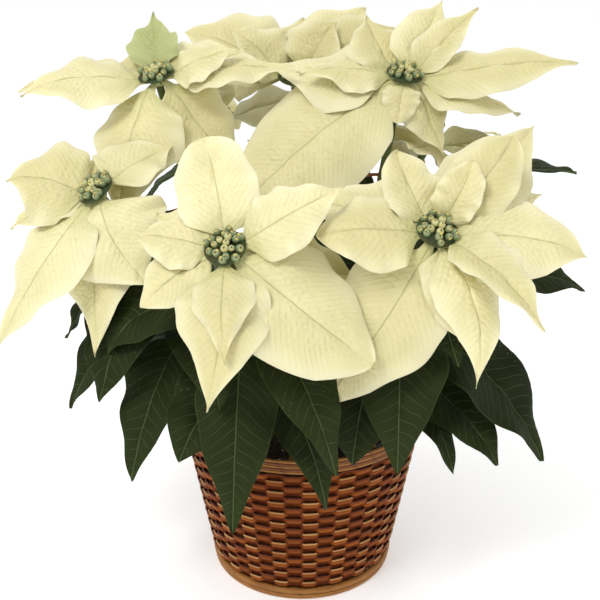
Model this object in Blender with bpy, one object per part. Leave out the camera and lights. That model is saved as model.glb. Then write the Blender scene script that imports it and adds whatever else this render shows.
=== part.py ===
# A cream-white poinsettia in its nursery pot, standing in a round woven basket.
# Lengths are metres, and the tables of bracts and leaves are millimetres. The origin is the
# middle of the basket's foot, +Z is up and -Y is the side that faces the viewer.
import math
import random

import bmesh
import bpy
from mathutils import Matrix, Vector
from mathutils.bvhtree import BVHTree

MM = 0.001
GAP = 0.3 * MM

# Basket
BASKET_HEIGHT = 137 * MM
BASKET_TOP_R = 95 * MM
BASKET_FOOT_R = 70 * MM
WALL_T = 3.2 * MM
STAKES = 17
WEAVER_ROWS = 13
WEAVE_DEPTH = 1.1 * MM
FOOT_HEIGHT = 10 * MM
RIM_HEIGHT = 12 * MM
CANE_R = 2.3 * MM
CANE_SEAM = 0.7 * MM
RING_T = 5 * MM
FLOOR_T = 4 * MM
STAKE_SIZE = 3 * MM

# Nursery pot and soil
POT_TOP_R = 78 * MM
POT_FOOT_R = 58 * MM
POT_T = 1.6 * MM
POT_HEIGHT = 121 * MM
POT_SIDES = 20
SOIL_Z = 115 * MM
STEM_SIDES = 6
TRUNK_R = 6 * MM
BRANCH_R = 3.2 * MM
BRANCH_STEPS = 6
HOLE_DEPTH = 45 * MM
HOLE_CLEARANCE = 0.3 * MM

# Blades
BLADE_T = 0.9 * MM
CLEARANCE = 1.2 * MM
ROOT_ROWS = 2
WAVE = 0.16
LEAF_FOLD = 0.12

# The way a camera at the front sees the plant: tables give each tip to the right, up and out of it
VIEW_TILT = math.radians(21.3)
RIGHT = Vector((1, 0, 0))
UP = Vector((0, math.sin(VIEW_TILT), math.cos(VIEW_TILT)))
OUT = Vector((0, -math.cos(VIEW_TILT), math.sin(VIEW_TILT)))

# Each station: place along the blade, half width as a share of the widest, edge wave to each side
BRACT_STATIONS = ((0.0, 0.05, 0), (0.17, 0.13, 0), (0.36, 0.88, 0.5), (0.57, 1.0, -0.5), (0.80, 0.54, 0.4))
BLUNT_PLACE = 0.07
BLUNT_SHARE = 0.22
LEAF_STATIONS = (
    (0.0, 0.05, 0), (0.26, 0.06, 0), (0.39, 0.74, 0.3), (0.53, 1.0, -0.5), (0.68, 0.84, 0.5), (0.85, 0.42, -0.3),
)
FILL_STATIONS = ((0.0, 0.05, 0), (0.26, 0.07, 0), (0.44, 0.98, 0.4), (0.74, 0.74, -0.4))

# Three rooted plants: place of the trunk in the soil, and how far it rises before it branches
PLANTS = {
    "left": ((-32, -22), 26),
    "right": ((34, -20), 30),
    "back": ((-2, 38), 34),
}

# Bloom heads: plant, centre of the cyathia, the way they face
HEADS = {
    "front_left": ("left", (-48, -120, 304), (-0.12, -0.62, 0.78)),
    "front_right": ("right", (85, -110, 312), (0.16, -0.58, 0.80)),
    "left": ("left", (-143, -40, 320), (-0.42, -0.42, 0.80)),
    "upper_left": ("left", (-107, 30, 388), (-0.20, -0.30, 0.93)),
    "upper_right": ("right", (75, 30, 388), (0.18, -0.32, 0.93)),
    "top": ("back", (-6, 112, 374), (0.0, -0.45, 0.90)),
    "back_left": ("back", (-72, 148, 332), (-0.35, 0.60, 0.72)),
    "back_right": ("right", (108, 100, 324), (0.58, 0.34, 0.72)),
}

# Bracts: tip to the right, up and out of the head, widest width, bulge, sideways sweep, roll, fold,
# and how blunt the tip is, from 0 for a long point to 1 for a round end
BRACTS = {
    "front_left": (
        (-17, 78, -16, 54, 4, 4, 0, 0.12, 1),
        (-56, 8, -12, 40, 8, 0, 14, -0.15, 0.6),
        (-54, -38, -10, 42, 9, 4, -8, -0.15, 0.6),
        (-10, -104, 8, 60, 20, -12, 0, -0.2, 0),
        (2, -72, 24, 40, 18, 2, 6, -0.3, 0),
        (90, -62, 12, 80, 24, 8, -6, -0.2, 0.8),
        (76, 34, -8, 46, 12, 8, 8, -0.2, 0),
        (82, -6, -22, 56, 8, 0, -8, 0.1, 0.3),
        (-52, 34, -40, 40, 4, 0, 0, 0.1, 0.3),
    ),
    "front_right": (
        (-20, 62, -8, 40, 5, -6, 0, 0.2, 0.8),
        (22, 43, 4, 30, 3, 4, 0, 0.2, 0.8),
        (50, 60, -8, 46, 8, 6, 6, -0.15, 0.8),
        (80, 90, -44, 60, 10, 4, 0, 0.12, 0),
        (90, 17, -4, 46, 12, 6, 12, -0.3, 0),
        (108, 20, -28, 56, 8, -8, -8, 0.1, 0),
        (92, -18, 8, 66, 18, -4, -6, -0.18, 0.3),
        (22, -94, 26, 44, 22, -20, 0, -0.4, 0),
        (20, -60, 8, 36, 12, 4, -6, -0.2, 0.6),
        (41, -65, -6, 34, 8, 2, 0, -0.2, 0.6),
        (74, -64, -22, 38, 6, 2, -10, 0.3, 0),
        (-76, -2, 10, 54, 14, 0, 0, -0.25, 0.6),
        (-62, -114, -8, 74, 14, -14, 0, -0.2, 0),
        (-84, 34, -20, 50, 8, 0, 10, 0.12, 0.3),
        (4, 62, -46, 58, 4, 0, 0, 0.1, 0.2),
    ),
    "left": (
        (-64, 6, -8, 70, 12, 8, 6, -0.12, 0),
        (-66, -26, -24, 34, 6, 0, 0, 0.1, 0),
        (-66, -112, 6, 60, 20, -14, 0, -0.2, 0),
        (36, -62, 24, 84, 24, 10, 0, -0.25, 0.4),
        (-4, -112, 0, 62, 14, -8, 0, -0.15, 0),
        (50, 34, -34, 60, 6, 0, 0, 0.15, 0),
        (-36, 22, -62, 52, 8, 0, 0, 0.1, 0),
        (-72, -44, -58, 54, 10, 0, 0, 0.1, 0),
    ),
    "upper_left": (
        (-10, 68, -26, 40, 0, -4, 0, 0.5, 0),
        (-103, -12, -8, 48, 18, 8, 10, -0.2, 0),
        (-94, -26, 8, 50, 16, 0, -12, -0.25, 0),
        (-31, -92, 28, 72, 26, 10, 0, -0.42, 0),
        (-48, 20, -32, 56, 8, 0, 0, 0.1, 0),
        (106, 0, 4, 42, 10, -6, -10, -0.2, 0),
        (62, 16, 6, 40, 8, 4, 8, -0.15, 0),
        (60, 44, -20, 62, 8, 8, 8, 0.1, 0),
        (64, -54, -6, 62, -6, 8, 0, -0.15, 0),
        (-50, -6, -62, 56, 10, 0, 0, 0.1, 0),
        (46, -6, -66, 50, 10, 0, 0, 0.1, 0),
    ),
    "upper_right": (
        (-22, 68, -16, 58, 6, -6, 0, 0.12, 0),
        (56, 50, -10, 32, 4, -2, 0, 0.2, 0),
        (32, 64, -24, 46, 4, 0, 0, 0.2, 0),
        (128, 8, -4, 46, 14, 6, 12, -0.3, 0),
        (92, -14, -10, 42, 18, 8, -12, -0.3, 0),
        (-7, -38, 8, 28, 6, 0, 0, -0.1, 1),
        (34, -46, 0, 42, 10, 0, 0, -0.2, 0),
        (-76, 4, 10, 38, 14, 4, 0, -0.35, 0),
        (-96, 36, -10, 72, 16, -6, 0, -0.28, 0),
        (-52, -62, 14, 34, 12, 6, 10, -0.3, 0),
        (-136, -112, 10, 92, 18, 14, -6, -0.2, 0.3),
        (-112, -20, -22, 62, -8, 0, 0, -0.2, 0),
        (52, 22, -64, 56, 10, 0, 0, 0.1, 0),
        (-26, 34, -66, 54, 10, 0, 0, 0.1, 0),
        (84, -20, -54, 54, 10, 0, 0, 0.1, 0),
    ),
    "top": (
        (-92, 40, -20, 78, 12, 6, 0, 0.1, 0.3),
        (-46, 68, -30, 66, 10, 0, 0, 0.1, 0.3),
        (8, 76, -36, 70, 10, 0, 0, 0.1, 0.3),
        (60, 62, -30, 66, 10, 0, 0, 0.1, 0.3),
        (-52, 36, 4, 54, 8, 0, 0, 0.1, 0),
        (34, 40, 0, 54, 8, 0, 0, 0.1, 0),
        (86, 22, -40, 60, 10, 0, 0, 0.1, 0),
        (-62, 6, -60, 58, 10, 0, 0, 0.1, 0),
        (24, 10, -92, 56, 12, 0, 0, 0.1, 0),
    ),
}
RING_BRACTS = 8
RING_LENGTH = 100 * MM
RING_WIDTH = 60 * MM
GOLDEN = math.radians(137.5)

# Leaves that show: head whose stem carries it, place up that stem, tip (x, y, z), width, arch, roll
LEAVES = (
    ("left", 0.72, (-178, -62, 214), 40, 26, 20),
    ("left", 0.55, (-168, -60, 160), 52, 34, 0),
    ("left", 0.62, (-146, -92, 178), 62, 34, 0),
    ("left", 0.40, (-122, -92, 118), 56, 44, 0),
    ("front_left", 0.55, (-47, -136, 104), 56, 46, 0),
    ("front_left", 0.72, (20, -142, 154), 50, 40, 0),
    ("front_left", 0.30, (17, -120, 112), 46, 50, 0),
    ("front_left", 0.62, (60, -52, 298), 56, 8, 0),
    ("front_right", 0.62, (64, -128, 146), 64, 44, 0),
    ("front_right", 0.46, (36, -104, 140), 76, 30, 0),
    ("front_right", 0.52, (172, -84, 130), 70, 44, 0),
    ("front_right", 0.30, (108, -92, 124), 42, 44, 0),
    ("front_right", 0.62, (206, -30, 240), 42, 26, 0),
    ("back_right", 0.80, (202, 8, 318), 42, 12, 0),
    ("front_right", 0.80, (118, -142, 222), 34, 26, 0),
)
# Further leaves, by rule: how many on each stem, first direction, and how far they reach
FILL_LEAVES = {
    "front_left": (4, -100, 95), "front_right": (4, -30, 100), "left": (4, 150, 110),
    "upper_left": (5, -70, 100), "upper_right": (4, -90, 100), "top": (4, -95, 100),
    "back_left": (4, 110, 110), "back_right": (4, 20, 110),
}
BEND_STEPS = (0, 4, -4, 8, -8, 12, -12, 17, -17, 23, -23, 30, -30, 38, -38)
SWING_STEPS = (0, 10, -10, 20, -20)

CLUSTER_R = 11 * MM
CUP_R = 2.9 * MM
CUPS = 8
BACK_CUPS = 6
CORE_R = 6 * MM
CORE_DROP = 9 * MM

COLOURS = {
    "bract": ((0.87, 0.83, 0.62, 1), 0.5),
    "leaf": ((0.035, 0.075, 0.02, 1), 0.45),
    "cyathia": ((0.22, 0.30, 0.12, 1), 0.5),
    "weave": ((0.16, 0.045, 0.015, 1), 0.5),
    "cane": ((0.50, 0.28, 0.10, 1), 0.5),
    "plastic": ((0.03, 0.03, 0.03, 1), 0.5),
    "soil": ((0.04, 0.025, 0.015, 1), 0.95),
}


def material(name):
    """The Principled material of this colour, made once."""
    found = bpy.data.materials.get(name)
    if found:
        return found
    made = bpy.data.materials.new(name)
    made.use_nodes = True
    shader = made.node_tree.nodes["Principled BSDF"]
    colour, roughness = COLOURS[name]
    shader.inputs["Base Color"].default_value = colour
    shader.inputs["Roughness"].default_value = roughness
    shader.inputs["Metallic"].default_value = 0
    return made


def new_object(name, points, faces, colour):
    mesh = bpy.data.meshes.new(name)
    mesh.from_pydata([tuple(p) for p in points], [], faces)
    mesh.validate()
    obj = bpy.data.objects.new(name, mesh)
    bpy.context.scene.collection.objects.link(obj)
    mesh.materials.append(material(colour))
    return obj


def turned(name, profile, sides, colour, radius_shift=None):
    """A closed profile of (radius, height) points turned about Z, anticlockwise seen from +Y."""
    rows = len(profile)
    points = []
    for side in range(sides):
        angle = 2 * math.pi * side / sides
        for row, (radius, height) in enumerate(profile):
            shift = radius_shift(side, row) if radius_shift else 0
            r = radius + shift
            points.append((r * math.cos(angle), r * math.sin(angle), height))
    faces = []
    for side in range(sides):
        this, following = side * rows, (side + 1) % sides * rows
        for row in range(rows):
            after = (row + 1) % rows
            a, b, c, d = this + row, following + row, following + after, this + after
            if radius_shift and radius_shift(side, row) < radius_shift(side, after):
                faces += [(a, b, d), (b, c, d)]
            else:
                faces += [(a, b, c), (a, c, d)]
    return new_object(name, points, faces, colour)


def basket_radius(height):
    return BASKET_FOOT_R + (BASKET_TOP_R - BASKET_FOOT_R) * height / BASKET_HEIGHT


def basket_wall():
    """Weavers that pass over one stake and under the next, each row a stake on from the last."""
    low = FOOT_HEIGHT + GAP
    high = BASKET_HEIGHT - RIM_HEIGHT - GAP
    step = (high - low) / WEAVER_ROWS
    outer = [(basket_radius(low), low)]
    for row in range(WEAVER_ROWS):
        height = low + step * (row + 0.5)
        outer.append((basket_radius(height), height))
    outer.append((basket_radius(high), high))
    inner = [(radius - WALL_T, height) for radius, height in (outer[-1], outer[0])]

    def weave(side, row):
        if row == 0 or row > WEAVER_ROWS:
            return 0
        return WEAVE_DEPTH * (1 if (side + row) % 2 else -1)

    return turned("basket_wall", outer + inner, 2 * STAKES, "weave", weave)


def cane_ring(name, low, height, rounds):
    """Rounds of cane laid on each other as one border, a little proud of the wall."""
    profile = []
    for turn in range(rounds):
        for share in (0.0, 0.5):
            z = low + height * (turn + share) / rounds
            proud = CANE_R if share else CANE_SEAM
            profile.append((basket_radius(z) + proud, z))
    top = low + height
    profile.append((basket_radius(top) + CANE_SEAM, top))
    profile.append((basket_radius(top) + CANE_SEAM - RING_T, top))
    profile.append((basket_radius(low) + CANE_SEAM - RING_T, low))
    return turned(name, profile, 2 * STAKES, "cane")


def box_between(start, end, size):
    """A square stick from start to end."""
    return tube([start, end], [size / 2 * math.sqrt(2)] * 2, 4, math.pi / 4)


def tube(path, radii, sides, turn=0.0):
    """Points and faces of a closed tube with flat ends along the path."""
    points = []
    for index, centre in enumerate(path):
        before, after = path[max(index - 1, 0)], path[min(index + 1, len(path) - 1)]
        along = (after - before).normalized()
        side = along.cross(Vector((0.31, 0.95, 0.05))).normalized()
        other = along.cross(side)
        for k in range(sides):
            angle = turn + 2 * math.pi * k / sides
            points.append(centre + (side * math.cos(angle) + other * math.sin(angle)) * radii[index])
    faces = []
    for ring in range(len(path) - 1):
        for k in range(sides):
            a, b = ring * sides + k, ring * sides + (k + 1) % sides
            faces.append((a, b, b + sides, a + sides))
    faces.append(tuple(reversed(range(sides))))
    faces.append(tuple(range((len(path) - 1) * sides, len(path) * sides)))
    return points, faces


def joined(name, first, others, colour):
    """One solid of the first mesh and the others, by one Boolean union on their collection."""
    base = new_object(name + "_base", *first, colour)
    group = bpy.data.collections.new(name + "_parts")
    bpy.context.scene.collection.children.link(group)
    for points, faces in others:
        piece = new_object(name + "_part", points, faces, colour)
        bpy.context.scene.collection.objects.unlink(piece)
        group.objects.link(piece)
    union = base.modifiers.new("union", "BOOLEAN")
    union.operation = "UNION"
    union.operand_type = "COLLECTION"
    union.collection = group
    union.solver = "EXACT"
    mesh = evaluated_mesh(base)
    if open_edges(mesh):
        union.solver = "MANIFOLD"
        other = evaluated_mesh(base)
        mesh = other if open_edges(other) < open_edges(mesh) else mesh
    for piece in list(group.objects) + [base]:
        bpy.data.objects.remove(piece)
    bpy.data.collections.remove(group)
    mesh.materials.clear()
    mesh.materials.append(material(colour))
    obj = bpy.data.objects.new(name, mesh)
    bpy.context.scene.collection.objects.link(obj)
    return obj


def evaluated_mesh(obj):
    """The mesh of an object after its modifiers, as one body of triangles."""
    bpy.context.view_layer.update()
    evaluated = obj.evaluated_get(bpy.context.evaluated_depsgraph_get())
    mesh = bpy.data.meshes.new_from_object(evaluated)
    largest_body(mesh)
    return mesh


def open_edges(mesh):
    """How many edges don't join exactly two faces."""
    work = bmesh.new()
    work.from_mesh(mesh)
    count = sum(1 for edge in work.edges if len(edge.link_faces) != 2)
    work.free()
    return count


def largest_body(mesh):
    """Drops loose scraps and the walls of sealed hollows, which are small bodies of their own."""
    work = bmesh.new()
    work.from_mesh(mesh)
    bmesh.ops.triangulate(work, faces=work.faces)
    left = set(work.faces)
    bodies = []
    while left:
        body = [left.pop()]
        for face in body:
            for edge in face.edges:
                for near in edge.link_faces:
                    if near in left:
                        left.remove(near)
                        body.append(near)
        bodies.append(body)
    bodies.sort(key=len)
    for body in bodies[:-1]:
        bmesh.ops.delete(work, geom=body, context="FACES")
    loose = [v for v in work.verts if not v.link_faces]
    bmesh.ops.delete(work, geom=loose, context="VERTS")
    work.to_mesh(mesh)
    work.free()


def basket_base():
    """The floor disc and the stakes that rise from its edge inside the wall."""
    sides = 2 * STAKES
    radius = BASKET_FOOT_R + CANE_SEAM - RING_T - 2 * GAP
    disc = tube([Vector((0, 0, 0)), Vector((0, 0, FLOOR_T))], [radius] * 2, sides)
    stakes = []
    for stake in range(STAKES):
        angle = 2 * math.pi * (stake + 0.5) / STAKES
        inset = RING_T - CANE_SEAM + STAKE_SIZE * 0.75 + GAP
        outward = Vector((math.cos(angle), math.sin(angle), 0))
        start = outward * (basket_radius(0) - inset) + Vector((0, 0, FLOOR_T / 2))
        top = BASKET_HEIGHT - 2 * MM
        end = outward * (basket_radius(top) - inset) + Vector((0, 0, top))
        stakes.append(box_between(start, end, STAKE_SIZE))
    return joined("basket_base", disc, stakes, "cane")


def nursery_pot():
    low = FLOOR_T + GAP
    top = low + POT_HEIGHT
    outer = [(POT_FOOT_R, low), (POT_TOP_R, top - 9 * MM), (POT_TOP_R + 2.2 * MM, top - 9 * MM)]
    outer += [(POT_TOP_R + 2.6 * MM, top), (POT_TOP_R - POT_T, top)]
    inner = [(POT_FOOT_R - POT_T, low + POT_T), (1 * MM, low + POT_T), (1 * MM, low)]
    return turned("nursery_pot", outer + inner, POT_SIDES, "plastic")


def soil(trunks):
    """The potting mix, with a plain hole round each trunk."""
    low = FLOOR_T + POT_T + GAP * 2
    share = (SOIL_Z - low) / POT_HEIGHT
    top_r = POT_FOOT_R + (POT_TOP_R - POT_FOOT_R) * share - POT_T - 1 * MM
    foot_r = POT_FOOT_R - POT_T - 1 * MM
    turn = math.pi / POT_SIDES
    body = tube([Vector((0, 0, low)), Vector((0, 0, SOIL_Z))], [foot_r, top_r], POT_SIDES, turn)
    obj = new_object("soil", *body, "soil")
    for index, place in enumerate(trunks):
        depth = SOIL_Z - HOLE_DEPTH
        path = [Vector((place.x, place.y, z)) for z in (depth, SOIL_Z + 10 * MM)]
        cutter = new_object(f"hole_{index}", *tube(path, [TRUNK_R + HOLE_CLEARANCE] * 2, STEM_SIDES), "soil")
        cut = obj.modifiers.new("hole", "BOOLEAN")
        cut.operation = "DIFFERENCE"
        cut.object = cutter
        cutter.hide_render = True
        cutter.display_type = "WIRE"
    return obj


def bezier(points, t):
    """The point at t on the Bezier curve of these control points."""
    while len(points) > 1:
        points = [a.lerp(b, t) for a, b in zip(points, points[1:])]
    return points[0]


def blade(curve, width, face, stations, fold=0.0, roll=0.0, wave=0.0, thickness=BLADE_T):
    """A closed thin blade along the curve, with its upper side towards face and its point at the end.

    Both faces are split into the same triangles, so a waved or folded blade never cuts itself."""
    upper, lower = [], []
    for place, share, side_wave in stations:
        here = bezier(curve, place)
        along = (bezier(curve, place + 0.02) - bezier(curve, max(place - 0.02, 0))).normalized()
        side = along.cross(face).normalized()
        side = Matrix.Rotation(roll * place, 3, along) @ side
        normal = side.cross(along)
        half = max(width / 2 * share, 1.0 * MM)
        lift = fold * half
        left = here - side * half + normal * (lift + wave * side_wave * half)
        right = here + side * half + normal * (lift - wave * side_wave * half)
        for line, shift in ((upper, thickness / 2), (lower, -thickness / 2)):
            line.append([p + normal * shift for p in (left, here, right)])
    tip = bezier(curve, 1.0)
    back = (bezier(curve, 0.98) - tip).normalized()
    points = [p for line in (upper, lower) for row in line for p in row]
    points += [tip + normal * thickness / 2, tip - normal * thickness / 2]
    count = len(stations)
    low = 3 * count
    top_tip, low_tip = 6 * count, 6 * count + 1
    faces = []
    for row in range(count - 1):
        a = 3 * row
        strip = [(a, a + 1, a + 4), (a, a + 4, a + 3), (a + 1, a + 2, a + 4), (a + 2, a + 5, a + 4)]
        faces += strip
        faces += [tuple(low + k for k in reversed(tri)) for tri in strip]
        faces.append((a, a + 3, low + a + 3, low + a))
        faces.append((a + 5, a + 2, low + a + 2, low + a + 5))
    end = 3 * (count - 1)
    faces += [(end, end + 1, top_tip), (end + 1, end + 2, top_tip)]
    faces += [(low + end + 1, low + end, low_tip), (low + end + 2, low + end + 1, low_tip)]
    faces += [(end, top_tip, low_tip, low + end), (top_tip, end + 2, low + end + 2, low_tip)]
    faces += [(1, 0, low, low + 1), (2, 1, low + 1, low + 2)]
    return points, faces


def open_part(solid, stations):
    """The faces of a blade past its root, where it lies clear of the others of its own node."""
    points, faces = solid
    low = 3 * len(stations)

    def outer(index):
        return index >= 2 * low or index % low >= 3 * ROOT_ROWS

    return points, [face for face in faces if all(outer(index) for index in face)]


class Crowd:
    """The solids placed so far, by node, so that a new blade can be bent clear of them."""

    def __init__(self):
        self.trees = []
        self.blades = []

    def add(self, node, solid):
        self.trees.append((node, BVHTree.FromPolygons(*solid)))

    def add_blade(self, node, solid, stations):
        self.add(node, solid)
        self.blades.append((node, BVHTree.FromPolygons(*open_part(solid, stations))))

    def free(self, node, solid, stations, among_own):
        tree = BVHTree.FromPolygons(*solid)
        if any(other != node and tree.overlap(placed) for other, placed in self.trees):
            return False
        if not among_own:
            return True
        tree = BVHTree.FromPolygons(*open_part(solid, stations))
        return not any(other == node and tree.overlap(placed) for other, placed in self.blades)


def clear_blade(crowd, node, shape, stations):
    """The blade of shape(bend, swing, thickness) with the smallest bend that clears the crowd.

    One that can't be kept clear of its own node's blades may cross them, and is fused with them."""
    steps = [(swing, bend) for swing in SWING_STEPS for bend in BEND_STEPS]
    for among_own in (True, False):
        for swing, bend in steps:
            thick = shape(bend * MM, math.radians(swing), BLADE_T + CLEARANCE)
            if crowd.free(node, thick, stations, among_own):
                solid = shape(bend * MM, math.radians(swing), BLADE_T)
                crowd.add_blade(node, solid, stations)
                return solid
    print("no room for a blade of", node)
    return None


def bract_shape(centre, facing, row):
    """The function that makes one bract of a head from its row of the table."""
    right, up, out, width, bulge, sweep, roll, fold, blunt = row
    reach = (RIGHT * right + UP * up + OUT * out) * MM
    return bract_towards(centre, facing, reach, width * MM, bulge * MM, sweep * MM, roll, fold, blunt)


def bract_stations(blunt):
    """The stations of a bract, with the last one wider and nearer the tip on a blunt one."""
    place, share, wave = BRACT_STATIONS[-1]
    return BRACT_STATIONS[:-1] + ((place + BLUNT_PLACE * blunt, share + BLUNT_SHARE * blunt, wave),)


def bract_towards(centre, facing, reach, width, bulge, sweep, roll, fold, blunt=0):
    outward = (reach - facing * reach.dot(facing)).normalized()
    root = centre - facing * CORE_DROP * 0.62 + outward * CORE_R * 0.55
    neck = centre - facing * CORE_DROP * 0.45 + outward * CLUSTER_R * 1.35

    def shape(bend, swing, thickness):
        turned_reach = Matrix.Rotation(swing, 3, facing) @ reach
        tip = centre + turned_reach + facing * bend
        side = turned_reach.cross(facing).normalized()
        middle = centre.lerp(tip, 0.55) + facing * (bulge + bend * 0.5) + side * sweep
        curve = [root, neck, middle, tip]
        face = (facing + OUT * 0.35).normalized() if OUT.dot(facing) > 0 else facing
        return blade(curve, width, face, bract_stations(blunt), fold, math.radians(roll), WAVE, thickness)

    return shape


def head_core(centre, facing):
    low = centre - facing * CORE_DROP
    return tube([low, centre - facing * (CORE_DROP * 0.35)], [CORE_R * 0.8, CORE_R], STEM_SIDES)


def cup(centre, radius, facing):
    """One round cyathium, an icosahedron a little longer than wide."""
    work = bmesh.new()
    bmesh.ops.create_icosphere(work, subdivisions=1, radius=radius)
    turn = facing.to_track_quat("Z", "Y").to_matrix().to_4x4()
    stretch = Matrix.Diagonal((1, 1, 1.25, 1))
    bmesh.ops.transform(work, matrix=Matrix.Translation(centre) @ turn @ stretch, verts=work.verts)
    solid = [v.co.copy() for v in work.verts], [tuple(v.index for v in f.verts) for f in work.faces]
    work.free()
    return solid


def cyathia(name, centre, facing, crowd):
    """A dome of round cups, on a small green core that the bracts stand round."""
    rng = random.Random(name)
    turn = facing.to_track_quat("Z", "Y").to_matrix()
    low = centre - facing * (CORE_DROP * 0.35 - GAP)
    core = tube([low, centre + facing * 1.5 * MM], [CORE_R * 0.9, CLUSTER_R * 0.75], 8)
    cups = []
    count = CUPS if facing.dot(OUT) > 0 else BACK_CUPS
    for index in range(count):
        radius = CLUSTER_R * math.sqrt((index + 0.4) / count)
        angle = index * GOLDEN + rng.uniform(-0.2, 0.2)
        height = 3.4 * MM - 3.2 * MM * (radius / CLUSTER_R) ** 2 + rng.uniform(-0.5, 0.5) * MM
        place = turn @ Vector((radius * math.cos(angle), radius * math.sin(angle), height))
        cups.append(cup(centre + place, CUP_R * rng.uniform(0.88, 1.1), facing))
    for solid in [core] + cups:
        crowd.add(name, solid)
    return joined(name, core, cups, "cyathia")


def stem_path(plant, head):
    """Control points of a branch: out of the trunk, up through the leaves, into the head."""
    (x, y), rise = PLANTS[plant]
    start = Vector((x * MM, y * MM, SOIL_Z + (rise - 6) * MM))
    centre, facing = head_place(head)
    end = centre - facing * (CORE_DROP + GAP)
    return [start, start.lerp(end, 0.25) + Vector((0, 0, 25 * MM)), end - facing * 45 * MM, end]


def head_place(head):
    _, centre, facing = HEADS[head]
    return Vector(centre) * MM, Vector(facing).normalized()


def branch_solid(curve):
    """A branch along its curve, whose last stretch runs straight into the head."""
    path = [bezier(curve, k / BRANCH_STEPS) for k in range(BRANCH_STEPS)]
    straight = (curve[2] - curve[3]).normalized() * BRANCH_R
    path += [curve[3] + straight, curve[3]]
    radii = [BRANCH_R * (1.25 - 0.35 * k / BRANCH_STEPS) for k in range(len(path))]
    return tube(path, radii, STEM_SIDES)


def trunk_solid(plant):
    (x, y), rise = PLANTS[plant]
    low = SOIL_Z - HOLE_DEPTH + GAP
    path = [Vector((x * MM, y * MM, z)) for z in (low, SOIL_Z + rise * MM)]
    return tube(path, [TRUNK_R, TRUNK_R * 0.9], STEM_SIDES)


def leaf_towards(curve, place, tip, width, arch, roll, stations=LEAF_STATIONS):
    """The function that makes one leaf from a place on its stem to its tip, on a long petiole."""
    root = bezier(curve, place)
    reach = tip - root
    outward = Vector((reach.x, reach.y, 0)).normalized()
    face = (outward * 0.5 + OUT * max(0.0, -root.y) * 8 + Vector((0, 0, 0.6))).normalized()

    def shape(bend, swing, thickness):
        spin = Matrix.Rotation(swing, 3, Vector((0, 0, 1)))
        end = root + spin @ reach + outward * bend * 0.7
        lift = Vector((0, 0, arch + bend * 0.3))
        first = root + spin @ reach * 0.25 + lift * 0.6
        second = root + spin @ reach * 0.80 + lift * 0.9 + outward * bend * 0.7
        return blade([root, first, second, end], width, face, stations, LEAF_FOLD, roll, WAVE, thickness)

    return shape


def fill_leaf(curve, head, index):
    """A leaf by rule: each one further round the stem, reaching out and hanging down."""
    rng = random.Random(f"leaf {index} {head}")
    count, first, reach = FILL_LEAVES[head]
    angle = math.radians(first) + index * GOLDEN
    share = index / (count - 1)
    place = 0.3 + 0.52 * share
    length = reach * MM * (1.12 - 0.24 * share) * rng.uniform(0.92, 1.08)
    root = bezier(curve, place)
    outward = Vector((math.cos(angle), math.sin(angle), 0))
    tip = root + outward * length * 0.9 + Vector((0, 0, -length * rng.uniform(0.35, 0.6)))
    width, arch = rng.uniform(50, 62) * MM, rng.uniform(22, 34) * MM
    return leaf_towards(curve, place, tip, width, arch, 0, FILL_STATIONS)


def ring_bracts(head):
    """Bracts by rule for a head at the back: small upright ones within larger spreading ones."""
    rng = random.Random(f"ring {head}")
    centre, facing = head_place(head)
    turn = facing.to_track_quat("Z", "Y").to_matrix()
    for index in range(RING_BRACTS):
        share = index / (RING_BRACTS - 1)
        length = RING_LENGTH * (1.08 - 0.55 * share) * rng.uniform(0.94, 1.06)
        angle = index * GOLDEN
        rise = math.radians(-14 + 52 * share)
        flat = Vector((math.cos(angle), math.sin(angle), 0)) * math.cos(rise)
        reach = turn @ (flat + Vector((0, 0, math.sin(rise)))) * length
        width = RING_WIDTH * (1.1 - 0.45 * share)
        yield bract_towards(centre, facing, reach, width, 12 * MM, rng.uniform(-5, 5) * MM, 0, -0.15)


def clear_scene():
    for obj in list(bpy.data.objects):
        bpy.data.objects.remove(obj)


def basket_solids(crowd):
    made = [basket_wall(), cane_ring("basket_foot", 0, FOOT_HEIGHT, 2)]
    made.append(cane_ring("basket_rim", BASKET_HEIGHT - RIM_HEIGHT, RIM_HEIGHT, 2))
    made += [basket_base(), nursery_pot()]
    for obj in made:
        points = [v.co.copy() for v in obj.data.vertices]
        crowd.add(obj.name, (points, [tuple(p.vertices) for p in obj.data.polygons]))


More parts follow.
